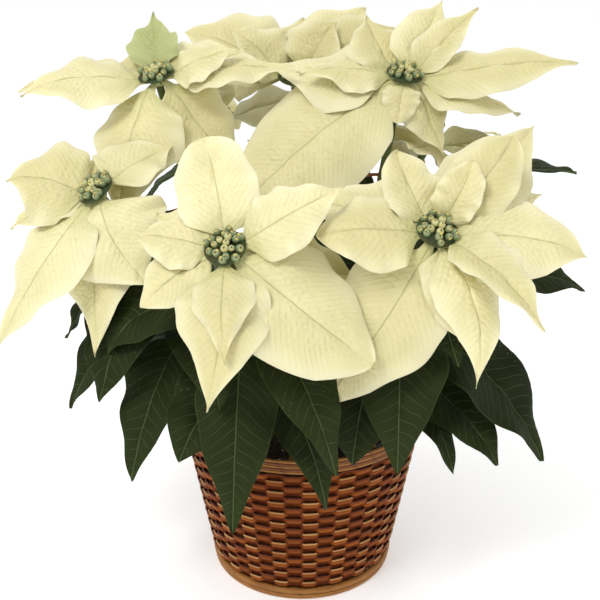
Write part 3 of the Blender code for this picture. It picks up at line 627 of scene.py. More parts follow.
class Sheet:
    """How one kind of blade is built up: rows to each vein, veins, thickness and waves."""

    def __init__(self, rows, spacing, slant, puff, quilt, thick, stalk, ripple, tip_power):
        self.rows = rows
        self.spacing = spacing
        self.slant = slant
        self.puff = puff
        self.quilt = quilt
        self.thick = thick
        self.stalk = stalk
        self.ripple = ripple
        self.tip_power = tip_power

    def half_widths(self, blade, t):
        """The half width along the blade, with its point drawn out or rounded."""
        place, share, _ = blade.stations.T
        last = place[-1]
        body = smooth_through(np.append(place, 1.0), np.append(share, 0.0), t)
        tip_power = self.tip_power - BLUNTING * blade.blunt
        left = np.clip((1 - t) / (1 - last), 0, 1)
        point = share[-1] * left ** tip_power
        return blade.width / 2 * np.where(t > last, point, body)

    def rows_along(self, blade, points):
        """Places of the rows along the midrib: a few in the stalk, then more, closest at the tip."""
        open_at = blade.stations[1][0]
        stalk = np.linspace(0, open_at, ROOT_ROWS, endpoint=False)
        steps = np.diff(bezier(points, np.linspace(open_at, 1, 20)), axis=0)
        rows = math.ceil(np.linalg.norm(steps, axis=1).sum() / self.spacing * self.rows)
        spread = 1 - (1 - np.linspace(0, 1, rows)) ** ROW_CROWDING
        return np.concatenate([stalk, open_at + (1 - open_at) * spread * LAST_ROW])

    def grid(self, blade, points, rng):
        """The points of both faces, ring by ring, and what the finish needs to know of each."""
        # Rows along the blade and columns across it, from -1 at one margin to 1 at the other
        t = self.rows_along(blade, points)
        here, _, side, up = blade.frame_at(points, t)
        steps = np.linalg.norm(np.diff(here, axis=0), axis=1)
        arc = np.concatenate([[0], np.cumsum(steps)])[:, None]
        t = t[:, None]
        opened = np.clip((t - blade.stations[1][0]) / OPENING, 0, 1)
        outer = np.array(COLUMN_SHARES)
        c = np.concatenate([-outer[:0:-1], outer])[None, :]
        size = np.abs(c)

        # The margin, which goes in and out a little with each beat
        phase_left, phase_right = rng.uniform(0, 1), rng.uniform(0, 1)
        sway = np.where(c < 0, rng.uniform(0, 6), rng.uniform(0, 6))
        count = rng.uniform(*MARGIN_BEATS)
        beat = np.sin(2 * math.pi * count * t + sway) + 0.5 * np.sin(13 * t * count / 4 + 2 * sway)
        half = np.maximum(self.half_widths(blade, t), LEAST_HALF_WIDTH)
        half = half * (1 + MARGIN_SWAY * opened * beat)
        across = half * c

        # Fold, puffed halves, rippled margin and crumples
        place, _, waves = blade.stations.T
        wave = smooth_through(np.append(place, 1.0), np.append(waves, 0.0), t)
        valley = np.sqrt(size ** 2 + VALLEY_ROUND) - VALLEY_FLOOR
        crumple = np.sin(arc / CRUMPLE_RUN - 2.2 * size + 2 * sway) * np.sin(2.6 * size + sway)
        crumple = 0.5 * self.ripple * opened * np.clip(half / CRUMPLED_FROM, 0, 1) * crumple
        lift = blade.fold * half * valley - WAVE * wave * across
        lift = lift + self.puff * half * opened * (1 - (2 * size - 1) ** 2)
        lift = lift + self.ripple * opened * size ** 3 * beat + crumple

        # Side veins, sunk where the phase is a whole number, and the groove over the midrib
        run = arc - self.slant * np.abs(across) * (1 + 0.35 * size)
        warp = 0.24 * np.sin(9 * t + 2.5 * c + sway) + 0.10 * np.sin(21 * t - 5 * c + 2 * sway)
        phase = run / self.spacing + warp * opened + np.where(c < 0, phase_left, phase_right)
        ribs = np.abs(np.sin(math.pi * phase)) - 0.6
        ribs = ribs * (0.6 + 0.4 * np.sin(4.3 * t + 2.1 * c + 3 * sway))
        shown = opened * np.sqrt(np.clip(np.sin(math.pi * np.clip(size, 0.02, 0.96)), 0, 1))
        broad = opened * np.clip(half / VEINED_FROM, 0, 1)
        ribs = ribs * shown * np.clip(half / VEINED_FROM, 0, 1)
        groove = np.exp(-(across / GROOVE_WIDTH) ** 2) * broad
        lift = lift + self.quilt * ribs - GROOVE_DEPTH * groove

        # Thickness, round in the stalk and flat in the sheet, with a rib below the midrib
        round_part = np.sqrt(np.clip(1 - size ** 2, 0, 1))
        flat_part = np.sqrt(np.clip(1 - size ** 8, 0, 1)) * (1 - 0.35 * size)
        body = self.thick * flat_part * opened + self.stalk * round_part * (1 - opened)
        body = np.minimum(body, 1.9 * half * round_part)
        rib = RIB_BELOW * np.exp(-(across / RIB_BELOW) ** 2) * broad * (1 - 0.7 * t)
        middle = here[:, None, :] + side[:, None, :] * across[..., None]
        upper = middle + up[:, None, :] * (lift + body / 2)[..., None]
        lower = middle + up[:, None, :] * (lift - body / 2 - rib)[..., None]

        # What the finish reads: place in the blade, then tint, face and nearness to the margin
        tint = rng.uniform(0, 1)
        ones = np.ones(across.shape)
        places = np.stack([ones * t, across / MM, phase], axis=-1)
        above = np.stack([ones * tint, ones * 0, ones * size], axis=-1)
        below = np.stack([ones * tint, ones, ones * size], axis=-1)
        return ringed(upper, lower), ringed(places, places), ringed(above, below)


print("columns across a blade:", 2 * len(COLUMN_SHARES) - 1)

# %% [markdown]
# Blades, stems and cups are all rings of points that follow each other. The rings of a whole piece are
# gathered and joined by quads in one go, which is faster than an object for each blade. The numbers
# that the finish needs go in as attributes of the points.


# %% Rings gathered into a mesh
class Pile:
    """Rings of points that are gathered into one mesh, each run of rings closed at both ends."""

    def __init__(self):
        self.points = []
        self.places = []
        self.looks = []
        self.greens = []
        self.faces = []
        self.count = 0

    def add(self, rings, places=None, looks=None, green=0.0):
        rows, around = rings.shape[:2]
        ids = self.count + np.arange(rows * around).reshape(rows, around)
        following = np.roll(ids, -1, axis=1)
        quads = np.stack([ids[:-1], ids[1:], following[1:], following[:-1]], axis=-1)
        self.faces += quads.reshape(-1, 4).tolist()
        self.faces += [ids[0].tolist(), ids[-1][::-1].tolist()]
        self.points.append(rings.reshape(-1, 3))
        blank = np.zeros((rows * around, 3))
        self.places.append(blank if places is None else places.reshape(-1, 3))
        self.looks.append(blank if looks is None else looks.reshape(-1, 3))
        self.greens.append(np.full(rows * around, green))
        self.count += rows * around

    def mesh(self, name):
        """The mesh, smooth except at sharp margins, with the numbers that its finish reads."""
        made = bpy.data.meshes.new(name)
        made.from_pydata(np.concatenate(self.points).tolist(), [], self.faces)
        made.shade_smooth()
        made.set_sharp_from_angle(angle=math.radians(70))
        for label, rows in (("place", self.places), ("look", self.looks)):
            stored = made.attributes.new(label, "FLOAT_VECTOR", "POINT")
            stored.data.foreach_set("vector", np.concatenate(rows).astype(np.float32).ravel())
        stored = made.attributes.new("green", "FLOAT", "POINT")
        stored.data.foreach_set("value", np.concatenate(self.greens).astype(np.float32))
        return made


print("stored with each point: place, look, green")

# %% [markdown]
# Bracts and leaves differ in a few measures only. A bract has close veins, a soft quilt and a
# drawn-out point. A leaf is a little thinner, with veins further apart that stand out more, a stouter
# stalk and a fuller tip.

# %% Sheets for bracts and for leaves
BRACT_SHEET = Sheet(
    rows=5, spacing=4.8 * MM, slant=0.75, puff=0.07, quilt=0.55 * MM, thick=0.5 * MM, stalk=1.6 * MM,
    ripple=1.7 * MM, tip_power=1.3,
)
LEAF_SHEET = Sheet(
    rows=4, spacing=8.2 * MM, slant=0.62, puff=0.06, quilt=0.75 * MM, thick=0.45 * MM, stalk=2.4 * MM,
    ripple=1.6 * MM, tip_power=0.85,
)
for kind, sheet in (("bract", BRACT_SHEET), ("leaf", LEAF_SHEET)):
    print("veins of a", kind, "are", round(sheet.spacing / MM, 1), "mm apart")

# %% [markdown]
# A cream bract holds hardly any green, so light goes a little way into it and comes out warm. The
# finish takes cream and lightens it towards the margin, partly the bract's own paler edge and partly
# painted highlight. It turns it darker and greener at the root, partly the bract's own green base and
# partly painted shade in the heart of the bloom, and greener in young bracts. It draws the midrib and
# the side veins from the stored numbers, and adds soft blotches. The skin has the fine grain of plant
# cells, and its gloss is low.


# %% Finish of the bracts
def cream_bract():
    skin = Surface("cream_bract", {
        "Subsurface Weight": 0.18,
        "Subsurface Radius": (0.9, 0.8, 0.4),
        "Subsurface Scale": 0.0015,
        "Specular IOR Level": 0.4,
    })
    t, across, phase = skin.attribute("place")
    tint, under, edge = skin.attribute("look")
    young = skin.attribute("green")[0]
    blotch = skin.mottle(38, 3)
    fine = skin.mottle(420, 2)
    cells = {"Vector": skin.place(), "Scale": 330.0}
    blister = skin.node("ShaderNodeTexVoronoi", {"feature": "SMOOTH_F1"}, cells)
    colour = skin.mix(tint, (0.68, 0.61, 0.31, 1), (0.84, 0.77, 0.45, 1))
    colour = skin.mix(skin.step(blotch, 0.35, 0.7) * 0.4, colour, (0.62, 0.58, 0.28, 1))
    # Partly painted highlight, partly the bract's own paler edge: the outer half is lightened towards the
    # margin.
    colour = skin.mix(skin.step(edge, 0.45, 1.0) * 0.45, colour, (0.93, 0.88, 0.60, 1))
    # Towards the root the bract is darker and greener: partly its own green base and partly painted shade
    # in the heart of the bloom.
    root = 1 - skin.step(t, 0.12, 0.50)
    colour = skin.mix(root * 0.6, colour, (0.52, 0.52, 0.19, 1))
    colour = skin.mix(young, colour, (0.42, 0.47, 0.20, 1))
    short_of_tip = 1 - skin.step(t, 0.80, 0.94)
    vein = 1 - skin.step(skin.maths("PINGPONG", phase, 0.5), 0.0, 0.26)
    vein = vein * skin.step(edge, 0.02, 0.12) * (1 - skin.step(edge, 0.7, 1.0)) * short_of_tip
    colour = skin.mix(vein * 0.09, colour, (0.52, 0.48, 0.20, 1))
    midrib = (1 - skin.step(skin.maths("ABSOLUTE", across), 0.15, 0.6)) * short_of_tip
    colour = skin.mix(midrib * 0.55, colour, (0.45, 0.46, 0.18, 1))
    colour = skin.mix(under * 0.4, colour, (0.66, 0.65, 0.36, 1))
    crinkle = (1 - skin.step(edge, 0.15, 0.95)) * (1 - blister)
    height = fine * 0.15 + blotch * 0.25 + crinkle * 0.8 - vein * 0.15 - midrib * 0.3
    return skin.finish(colour, 0.43 + fine * 0.15, height, 0.0011)


cream = cream_bract()
print("finish:", cream.name)

# %% [markdown]
# Each bloom is one piece: its bracts and the short green cone on which they stand. The cone is the
# swollen end of the stem, and the bracts' roots are sunk in it.


# %% Blooms
def rings_along(path, radii, sides):
    """Rings of points round a path, which may run any way but that of the skew direction."""
    path = np.asarray(path, float)
    along = unit(np.gradient(path, axis=0))
    skew = (0.31, 0.95, 0.05)
    side = unit(np.cross(along, skew))
    other = np.cross(along, side)
    angle = np.linspace(0, 2 * math.pi, sides, endpoint=False)[None, :, None]
    radii = np.asarray(radii, float)[:, None, None]
    return path[:, None] + (side[:, None] * np.cos(angle) + other[:, None] * np.sin(angle)) * radii


def make_bloom(bloom):
    rng = random.Random("sheet " + bloom)
    pile = Pile()
    centre, facing = bloom_place(bloom)
    drops = np.linspace(CORE_DROP, CORE_DROP * 0.35, 5)
    radii = CORE_R * np.linspace(0.72, 0.98, 5)
    pile.add(rings_along(centre - facing * drops[:, None], radii, 16), green=CORE_GREEN)
    for blade, points in bloom_blades[bloom]:
        pile.add(*BRACT_SHEET.grid(blade, points, rng), green=blade.green)
    piece = linked("bloom_" + bloom, pile.mesh("bloom_" + bloom), cream)
    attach(piece, "root")
    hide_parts("bracts_" + bloom)
    return piece


blooms = [make_bloom(bloom) for bloom in BLOOMS]
print("faces of the blooms:", sum(len(piece.data.polygons) for piece in blooms))

# %% [markdown]
# Below the blooms the foliage is dark. Leaves stand on long petioles, hang down over the basket and
# have a drawn-out point and angular shoulders. Those that show come from a table, and the rest
# follow the same rule as in the solids.

# %% Stems and leaves
BRANCH_R = 3.2 * MM
TRUNK_R = 6 * MM
HOLE_DEPTH = 45 * MM
LEAF_FOLD = 0.12
LEAF_STATIONS = (
    (0.0, 0.05, 0), (0.26, 0.06, 0), (0.39, 0.74, 0.3),
    (0.53, 1.0, -0.5), (0.68, 0.84, 0.5), (0.85, 0.42, -0.3),
)
FILL_STATIONS = ((0.0, 0.05, 0), (0.26, 0.07, 0), (0.44, 0.98, 0.4), (0.74, 0.74, -0.4))
# Each leaf: bloom whose stem carries it, place up that stem, tip (x, y, z), width, arch, roll
LEAVES = (
    ("left", 0.72, (-178, -62, 214), 40, 26, 20),
    ("left", 0.55, (-168, -60, 160), 52, 34, 0),
    ("left", 0.62, (-146, -92, 178), 62, 34, 0),
    ("left", 0.40, (-122, -92, 118), 56, 44, 0),
    ("front_left", 0.55, (-47, -136, 104), 56, 46, 0),
    ("front_left", 0.72, (20, -142, 154), 50, 40, 0),
    ("front_left", 0.30, (17, -120, 112), 46, 50, 0),
    ("front_left", 0.62, (60, -52, 298), 56, 8, 0),
    ("front_right", 0.62, (64, -128, 146), 64, 44, 0),
    ("front_right", 0.46, (36, -104, 140), 76, 30, 0),
    ("front_right", 0.52, (172, -84, 130), 70, 44, 0),
    ("front_right", 0.30, (108, -92, 124), 42, 44, 0),
    ("front_right", 0.62, (206, -30, 240), 42, 26, 0),
    ("back_right", 0.80, (202, 8, 318), 42, 12, 0),
    ("front_right", 0.80, (118, -142, 222), 34, 26, 0),
)
# Further leaves on each stem: how many, first direction in degrees, reach
FILL_LEAVES = {
    "front_left": (4, -100, 95), "front_right": (4, -30, 100), "left": (4, 150, 110),
    "upper_left": (5, -70, 100), "upper_right": (4, -90, 100), "top": (4, -95, 100),
    "back_left": (4, 110, 110), "back_right": (4, 20, 110),
}


def stem_curve(bloom):
    """Control points of a branch: out of the trunk, up through the leaves, into the bloom."""
    (x, y), rise = PLANTS[BLOOMS[bloom][0]]
    start = np.array((x * MM, y * MM, SOIL_TOP + (rise - 6) * MM))
    centre, facing = bloom_place(bloom)
    end = centre - facing * (CORE_DROP + 0.3 * MM)
    return np.array([start, start * 0.75 + end * 0.25 + (0, 0, 25 * MM), end - facing * 45 * MM, end])


def leaf(stem, place, tip, width, arch, roll, stations=LEAF_STATIONS):
    """A leaf from a place on its stem to its tip, on a long petiole."""
    root = bezier(stem, place)
    reach = np.asarray(tip) - root
    outward = unit(reach * (1, 1, 0))
    face = unit(outward * 0.5 + VIEW_OUT * max(0.0, -root[1]) * 8 + (0, 0, 0.6))

    def midrib(bend, swing):
        turned = turn_about(np.array((0, 0, 1.0)), swing, reach)
        lift = np.array((0, 0, arch + bend * 0.3))
        end = root + turned + outward * bend * 0.7
        first = root + turned * 0.25 + lift * 0.6
        second = root + turned * 0.80 + lift * 0.9 + outward * bend * 0.7
        return np.array([root, first, second, end])

    return Blade(midrib, width, face, stations, LEAF_FOLD, roll)


def fill_leaf(stem, bloom, index):
    """A leaf by rule: each one further round the stem, reaching out and hanging down."""
    rng = random.Random(f"leaf {index} {bloom}")
    count, first, reach = FILL_LEAVES[bloom]
    angle = math.radians(first) + index * GOLDEN
    share = index / (count - 1)
    place = 0.3 + 0.52 * share
    length = reach * MM * (1.12 - 0.24 * share) * rng.uniform(0.92, 1.08)
    outward = np.array((math.cos(angle), math.sin(angle), 0))
    tip = bezier(stem, place) + outward * length * 0.9 + (0, 0, -length * rng.uniform(0.35, 0.6))
    width, arch = rng.uniform(50, 62) * MM, rng.uniform(22, 34) * MM
    return leaf(stem, place, tip, width, arch, 0.0, FILL_STATIONS)


def plant_leaves(plant):
    """The leaves of one plant, where the frame has them."""
    found = []
    for bloom, place, tip, width, arch, roll in LEAVES:
        if BLOOMS[bloom][0] == plant:
            stem = stem_curve(bloom)
            found.append(leaf(stem, place, np.array(tip) * MM, width * MM, arch * MM, math.radians(roll)))
    for bloom, (count, _, _) in FILL_LEAVES.items():
        if BLOOMS[bloom][0] == plant:
            found += [fill_leaf(stem_curve(bloom), bloom, index) for index in range(count)]
    return settled(found, "stem_" + plant)


leaf_blades = {plant: plant_leaves(plant) for plant in PLANTS}
print("leaves found:", {plant: len(found) for plant, found in leaf_blades.items()})

# %% [markdown]
# The upper side of a leaf is a dark, slightly waxy green with thin pale veins that slant forward from
# the midrib, and its underside is paler. The petiole is flushed with red. The side veins read the
# same stored numbers as the ribs of the sheet, so line and groove fall together.


# %% Finish of the leaves
def dark_leaf():
    skin = Surface("dark_leaf", {"Specular IOR Level": 0.12})
    t, across, phase = skin.attribute("place")
    tint, under, edge = skin.attribute("look")
    blotch = skin.mottle(60, 3)
    fine = skin.mottle(900, 2)
    colour = skin.mix(tint, (0.011, 0.017, 0.0035, 1), (0.020, 0.029, 0.006, 1))
    colour = skin.mix(skin.step(blotch, 0.4, 0.8) * 0.6, colour, (0.025, 0.037, 0.007, 1))
    colour = skin.mix(skin.step(t, 0.70, 1.0) * 0.4, colour, (0.030, 0.046, 0.009, 1))
    colour = skin.mix(under * 0.8, colour, (0.075, 0.115, 0.036, 1))
    vein = 1 - skin.step(skin.maths("PINGPONG", phase, 0.5), 0.0, 0.06)
    vein = vein * (1 - skin.step(edge, 0.6, 0.98)) * skin.step(t, 0.26, 0.32)
    colour = skin.mix(vein * 0.7, colour, (0.075, 0.10, 0.036, 1))
    midrib = 1 - skin.step(skin.maths("ABSOLUTE", across), 0.2, 0.55)
    colour = skin.mix(midrib * 0.7, colour, (0.10, 0.13, 0.05, 1))
    # Painted highlight: a thin lighter green line along the margin of the blade.
    margin = skin.step(edge, 0.965, 1.0) * skin.step(t, 0.3, 0.4)
    colour = skin.mix(margin * 0.4, colour, (0.08, 0.115, 0.03, 1))
    stalk = 1 - skin.step(t, 0.22, 0.30)
    colour = skin.mix(stalk, colour, (0.26, 0.085, 0.03, 1))
    cells = skin.node("ShaderNodeTexVoronoi", inputs={"Vector": skin.place(), "Scale": 620.0})
    height = cells * 0.06 + fine * 0.08 + blotch * 0.4 - vein * 0.4
    return skin.finish(colour, 0.58 + fine * 0.15, height, 0.0006)


def green_stem():
    bark = Surface("green_stem", {"Specular IOR Level": 0.35})
    streak = bark.mottle(160, 3)
    fine = bark.mottle(1500, 2)
    colour = bark.mix(streak, (0.07, 0.11, 0.03, 1), (0.17, 0.19, 0.07, 1))
    low = 1 - bark.step(bark.parts(bark.place())[2], 0.13, 0.20)
    colour = bark.mix(low * 0.8, colour, (0.20, 0.15, 0.09, 1))
    return bark.finish(colour, 0.5 + fine * 0.2, fine * 0.5 + streak * 0.5, 0.0004)


leaf_green = dark_leaf()
stem_green = green_stem()
print("finishes:", leaf_green.name, stem_green.name)

# %% [markdown]
# A stem is a tube along its curve, thicker below, with a low ring at each node where a leaf fell or
# stands. The trunks go down into the soil, as the solids do.

# %% Shoots
NODE_RING = 0.5 * MM
NODE_LENGTH = 0.012
NODE_PLACES = (0.18, 0.34, 0.5, 0.64, 0.78, 0.9)
TRUNK_ROWS = 24


def branch_rings(bloom):
    """A branch with a few low rings along it."""
    t = np.linspace(0, 1, 60)
    path = bezier(stem_curve(bloom), t)
    radii = BRANCH_R * (1.25 - 0.35 * t)
    rings = sum(np.exp(-((t - place) / NODE_LENGTH) ** 2) for place in NODE_PLACES)
    return rings_along(path, radii + NODE_RING * rings, 12)


def trunk_rings(plant):
    (x, y), rise = PLANTS[plant]
    z = np.linspace(SOIL_TOP - HOLE_DEPTH, SOIL_TOP + rise * MM, TRUNK_ROWS)
    path = np.stack([z * 0 + x * MM, z * 0 + y * MM, z], axis=1)
    return rings_along(path, TRUNK_R * np.linspace(1.0, 0.86, TRUNK_ROWS), 14)


def make_shoots(plant):
    rng = random.Random("leaves " + plant)
    wood, foliage = Pile(), Pile()
    wood.add(trunk_rings(plant))
    for bloom, (owner, _, _) in BLOOMS.items():
        if owner == plant:
            wood.add(branch_rings(bloom))
    for blade, points in leaf_blades[plant]:
        foliage.add(*LEAF_SHEET.grid(blade, points, rng))
    made = []
    for name, pile, material in (("stems_", wood, stem_green), ("leaves_", foliage, leaf_green)):
        piece = linked(name + plant, pile.mesh(name + plant), material)
        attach(piece, "root")
        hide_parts("stem_" + plant)
        made.append(piece)
    return made


shoots = [piece for plant in PLANTS for piece in make_shoots(plant)]
print("faces of the shoots:", sum(len(piece.data.polygons) for piece in shoots))

# %% [markdown]
# Geometry Nodes suit what repeats by a rule. A small class opens a tree with named inputs and closes
# it with Realize Instances and Set Material. A second function runs the tree on an empty mesh and
# keeps the result as a plain mesh.


# %% Growth rules
SOCKETS = {
    "number": "NodeSocketFloat", "count": "NodeSocketInt", "object": "NodeSocketObject",
    "vector": "NodeSocketVector",
}


class Rule(Graph):
    """A Geometry Nodes tree whose inputs are the sizes of the piece it makes."""

    def __init__(self, name, inputs):
        super().__init__(bpy.data.node_groups.new(name, "GeometryNodeTree"))
        interface = self.tree.interface
        interface.new_socket("Geometry", in_out="OUTPUT", socket_type="NodeSocketGeometry")
        self.keys = {}
        for label, kind in inputs.items():
            socket = interface.new_socket(label, in_out="INPUT", socket_type=SOCKETS[kind])
            self.keys[label] = socket.identifier
        self.entry = self.tree.nodes.new("NodeGroupInput")

    def given(self, label):
        return Value(self, self.entry.outputs[label])

    def vector(self, x, y, z):
        return self.node("ShaderNodeCombineXYZ", inputs={0: x, 1: y, 2: z})

    def keep(self, geometry, label, value):
        """The geometry with a number stored on its points for the finish."""
        inputs = {0: geometry, "Name": label, "Value": value}
        return self.node("GeometryNodeStoreNamedAttribute", inputs=inputs)

    def random(self, low, high, seed):
        return self.node("FunctionNodeRandomValue", inputs={2: low, 3: high, "Seed": seed}, output=1)

    def tube(self, line, radius, sides):
        """A round strand along a curve, with its ends closed."""
        circle = {"Resolution": sides, "Radius": radius}
        circle = self.node("GeometryNodeCurvePrimitiveCircle", {"mode": "RADIUS"}, circle)
        inputs = {0: line, "Profile Curve": circle, "Fill Caps": True}
        return self.node("GeometryNodeCurveToMesh", inputs=inputs)

    def join(self, first, second):
        """Two geometries as one."""
        both = self.node("GeometryNodeJoinGeometry", inputs={0: first})
        self.tree.links.new(second.socket, both.socket.node.inputs[0])
        return both

    def close(self, geometry, material):
        smooth = self.node("GeometryNodeSetShadeSmooth", inputs={0: geometry})
        real = self.node("GeometryNodeRealizeInstances", inputs={0: smooth})
        done = self.node("GeometryNodeSetMaterial", inputs={0: real, "Material": material})
        exit_node = self.tree.nodes.new("NodeGroupOutput")
        self.tree.links.new(done.socket, exit_node.inputs[0])
        return self


def grown(name, rule, sizes):
    """A plain mesh object, made by the rule with these sizes."""
    host = linked(name, bpy.data.meshes.new(name))
    modifier = host.modifiers.new("rule", "NODES")
    modifier.node_group = rule.tree
    for label, value in sizes.items():
        modifier[rule.keys[label]] = value
    bpy.context.view_layer.update()
    evaluated = host.evaluated_get(bpy.context.evaluated_depsgraph_get())
    mesh = bpy.data.meshes.new_from_object(evaluated)
    host.modifiers.clear()
    host.data = mesh
    return host


print("kinds of input:", ", ".join(SOCKETS))

# %% [markdown]
# The true flowers are the small green cups in the middle. Each cup stands on a short stalk, is open at
# the top, shows a few anthers and has a yellow gland at its lip. One cup is turned like a pot from a
# profile. The rule sets it out by the golden angle on a low dome, each cup facing outwards.

# %% One cup
CUP_PROFILE = (
    (0.55, -7.0), (0.5, -3.2), (1.1, -2.5), (2.0, -1.5), (2.35, -0.2), (2.15, 1.1), (1.5, 2.0), (1.0, 2.35),
    (0.72, 2.1), (0.6, 1.5),
)
CUP_SIDES = 12
CUP_OPEN_RING = 8
GLAND_PLACE = (1.55, 0, 1.75)
GLAND_SIZE = (0.55, 0.95, 0.6)
# Each anther: direction in radians, and how far it leans out
ANTHERS = ((0.4, 0.45), (2.6, 0.35), (4.5, 0.5))


def ball(centre, size, rows=5, sides=8):
    """Rings of a small ellipsoid, with tiny flat poles."""
    angle = np.linspace(0.12, math.pi - 0.12, rows)
    rings = rings_along(np.stack([angle * 0, angle * 0, -np.cos(angle)], axis=1), np.sin(angle), sides)
    return rings * np.asarray(size) + np.asarray(centre)


def level_ring(radius, height):
    """One ring of the cup about its axis."""
    return rings_along([(0, 0, height), (0, 0, height + 1.0)], [radius, radius], CUP_SIDES)[0]


def one_cup():
    """A cup with a gland at its lip and three anthers; the stored look says which is which."""
    pile = Pile()
    rings = np.stack([level_ring(radius, height) for radius, height in CUP_PROFILE])
    looks = np.zeros(rings.shape)
    looks[:, :, 1] = np.linspace(0, 1, len(rings))[:, None]
    looks[CUP_OPEN_RING:, :, 0] = 0.5
    pile.add(rings * MM, looks=looks)
    gland = ball(GLAND_PLACE, GLAND_SIZE)
    pile.add(gland * MM, looks=np.ones(gland.shape))
    for angle, lean in ANTHERS:
        foot = np.array((lean * math.cos(angle), lean * math.sin(angle), 1.6))
        top = foot + (lean * math.cos(angle) * 0.6, lean * math.sin(angle) * 0.6, 1.5)
        anther = rings_along(np.stack([foot, top * 0.5 + foot * 0.5, top]), (0.14, 0.14, 0.3), 6)
        pile.add(anther * MM, looks=np.ones(anther.shape) * (0.8, 1, 0))
    return pile.mesh("cup")


cup = linked("cup_pattern", one_cup())
print("faces of one cup:", len(cup.data.polygons))

# %% [markdown]
# In the rule, each point's number gives its distance from the middle and its angle. The middle cups
# are younger, smaller and yellower, so the distance is stored for the finish as well.


# %% Finish and setting out of the cups
def green_cup():
    skin = Surface("green_cup", {"Specular IOR Level": 0.35, "Subsurface Weight": 0.08})
    part, height, _ = skin.attribute("look")
    ring = skin.attribute("ring")[0]
    grain = skin.mottle(700, 2)
    green = skin.mix(skin.step(height, 0.25, 0.7), (0.045, 0.075, 0.022, 1), (0.24, 0.30, 0.15, 1))
    green = skin.mix(skin.step(height, 0.6, 0.85) * 0.85, green, (0.52, 0.57, 0.36, 1))
    green = skin.mix(grain * 0.3, green, (0.14, 0.18, 0.07, 1))
    green = skin.mix((1 - skin.step(ring, 0.3, 0.7)) * 0.8, green, (0.76, 0.70, 0.34, 1))
    colour = skin.mix(skin.step(part, 0.3, 0.4), green, (0.20, 0.20, 0.08, 1))
    colour = skin.mix(skin.step(part, 0.6, 0.7), colour, (0.62, 0.50, 0.18, 1))
    colour = skin.mix(skin.step(part, 0.9, 0.95), colour, (0.74, 0.58, 0.14, 1))
    return skin.finish(colour, 0.45 + grain * 0.2, grain, 0.0003)


def cup_rule(material):
    """Cups by the golden angle on a dome, over a short green cone that is their bed."""
    labels = {"Cup": "object", "Count": "count", "Radius": "number", "Dome": "number", "Bed": "number"}
    rule = Rule("cups", {**labels, "Seed": "count"})
    index = rule.node("GeometryNodeInputIndex")
    count = rule.given("Count")
    share = rule.maths("SQRT", (index + 0.35) / count)
    angle = index * GOLDEN + rule.random(-0.25, 0.25, rule.given("Seed"))
    radius = rule.given("Radius") * share
    rise = rule.given("Dome") * (1 - share * share) + rule.random(-0.0008, 0.0008, rule.given("Seed") + 5)
    x = radius * rule.maths("COSINE", angle)
    y = radius * rule.maths("SINE", angle)
    points = rule.node("GeometryNodePoints", inputs={0: count, "Position": rule.vector(x, y, rise)})
    points = rule.keep(points, "ring", share)
    lean = rule.vector(x, y, rule.given("Radius") * 1.25)
    turn = rule.node("FunctionNodeAlignRotationToVector", {"axis": "Z"}, {"Vector": lean})
    spin = rule.vector(0.0, 0.0, rule.random(0.0, 6.28, 11))
    turn = rule.node("FunctionNodeRotateRotation", {"rotation_space": "LOCAL"}, {0: turn, 1: spin})
    size = (0.88 + share * 0.3) * rule.random(0.88, 1.12, rule.given("Seed") + 9)
    pattern = rule.node("GeometryNodeObjectInfo", inputs={"Object": rule.given("Cup")}, output=4)
    inputs = {0: points, "Instance": pattern, "Rotation": turn, "Scale": rule.vector(size, size, size)}
    cups = rule.node("GeometryNodeInstanceOnPoints", inputs=inputs)
    wide, narrow = rule.given("Radius") * 1.1, rule.given("Radius") * 0.4
    bed = {"Vertices": 24, "Radius Top": wide, "Radius Bottom": narrow, "Depth": rule.given("Bed")}
    bed = rule.node("GeometryNodeMeshCone", inputs=bed)
    under_cups = rule.vector(0.0, 0.0, rule.given("Bed") * -1.35)
    bed = rule.node("GeometryNodeSetPosition", inputs={0: bed, "Offset": under_cups})
    return rule.close(rule.join(cups, rule.keep(bed, "ring", 1.0)), material)


CUPS = 20
CUPS_RADIUS = CLUSTER_R * 1.12
CUPS_DOME = 3.6 * MM
CUPS_BED = 5 * MM
CUPS_LIFT = 1 * MM
cups_rule = cup_rule(green_cup())


def make_cups(bloom, seed):
    sizes = {
        "Cup": cup, "Count": CUPS, "Radius": CUPS_RADIUS, "Dome": CUPS_DOME, "Bed": CUPS_BED, "Seed": seed,
    }
    piece = grown("cups_" + bloom, cups_rule, sizes)
    centre, facing = bloom_place(bloom)
    turn = Vector(facing).to_track_quat("Z", "Y").to_matrix().to_4x4()
    piece.data.transform(Matrix.Translation(centre + facing * CUPS_LIFT) @ turn)
    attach(piece, "root")
    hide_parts("cyathia_" + bloom)
    return piece


clusters = [make_cups(bloom, seed) for seed, bloom in enumerate(BLOOMS)]
bpy.data.objects.remove(cup)
print("faces of the cups:", sum(len(piece.data.polygons) for piece in clusters))

# %% [markdown]
# The basket is woven in the round. A weaver of split cane runs in one long spiral, over one upright
# strand and under the next. Because the number of strands is odd, each round comes out one strand on
# from the round below, and the over-and-under pattern alternates by itself. So the whole wall is one
# curve: its radius swings in and out once for every two strands. The weavers hide the thin strands,
# which aren't made. A wide dark strip and a thin one lie on each other and make every round. The thin
# one shows pale wood on every second round only.

# %% Measures of the basket
BASKET_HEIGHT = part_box("basket_rim")[1].z
FOOT_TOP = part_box("basket_foot")[1].z
RIM_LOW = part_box("basket_rim")[0].z
BASKET_FOOT_R = 70 * MM
BASKET_TOP_R = 95 * MM
STAKES = 17
ROUNDS = 23
STRANDS = 43
POINTS_PER_STRAND = 7
WEAVE_DEPTH = 1.25 * MM
SLOPE = (BASKET_TOP_R - BASKET_FOOT_R) / BASKET_HEIGHT
PITCH = (RIM_LOW - FOOT_TOP) / ROUNDS
print("rounds of weaving:", ROUNDS, "each", round(PITCH / MM, 2), "mm high")
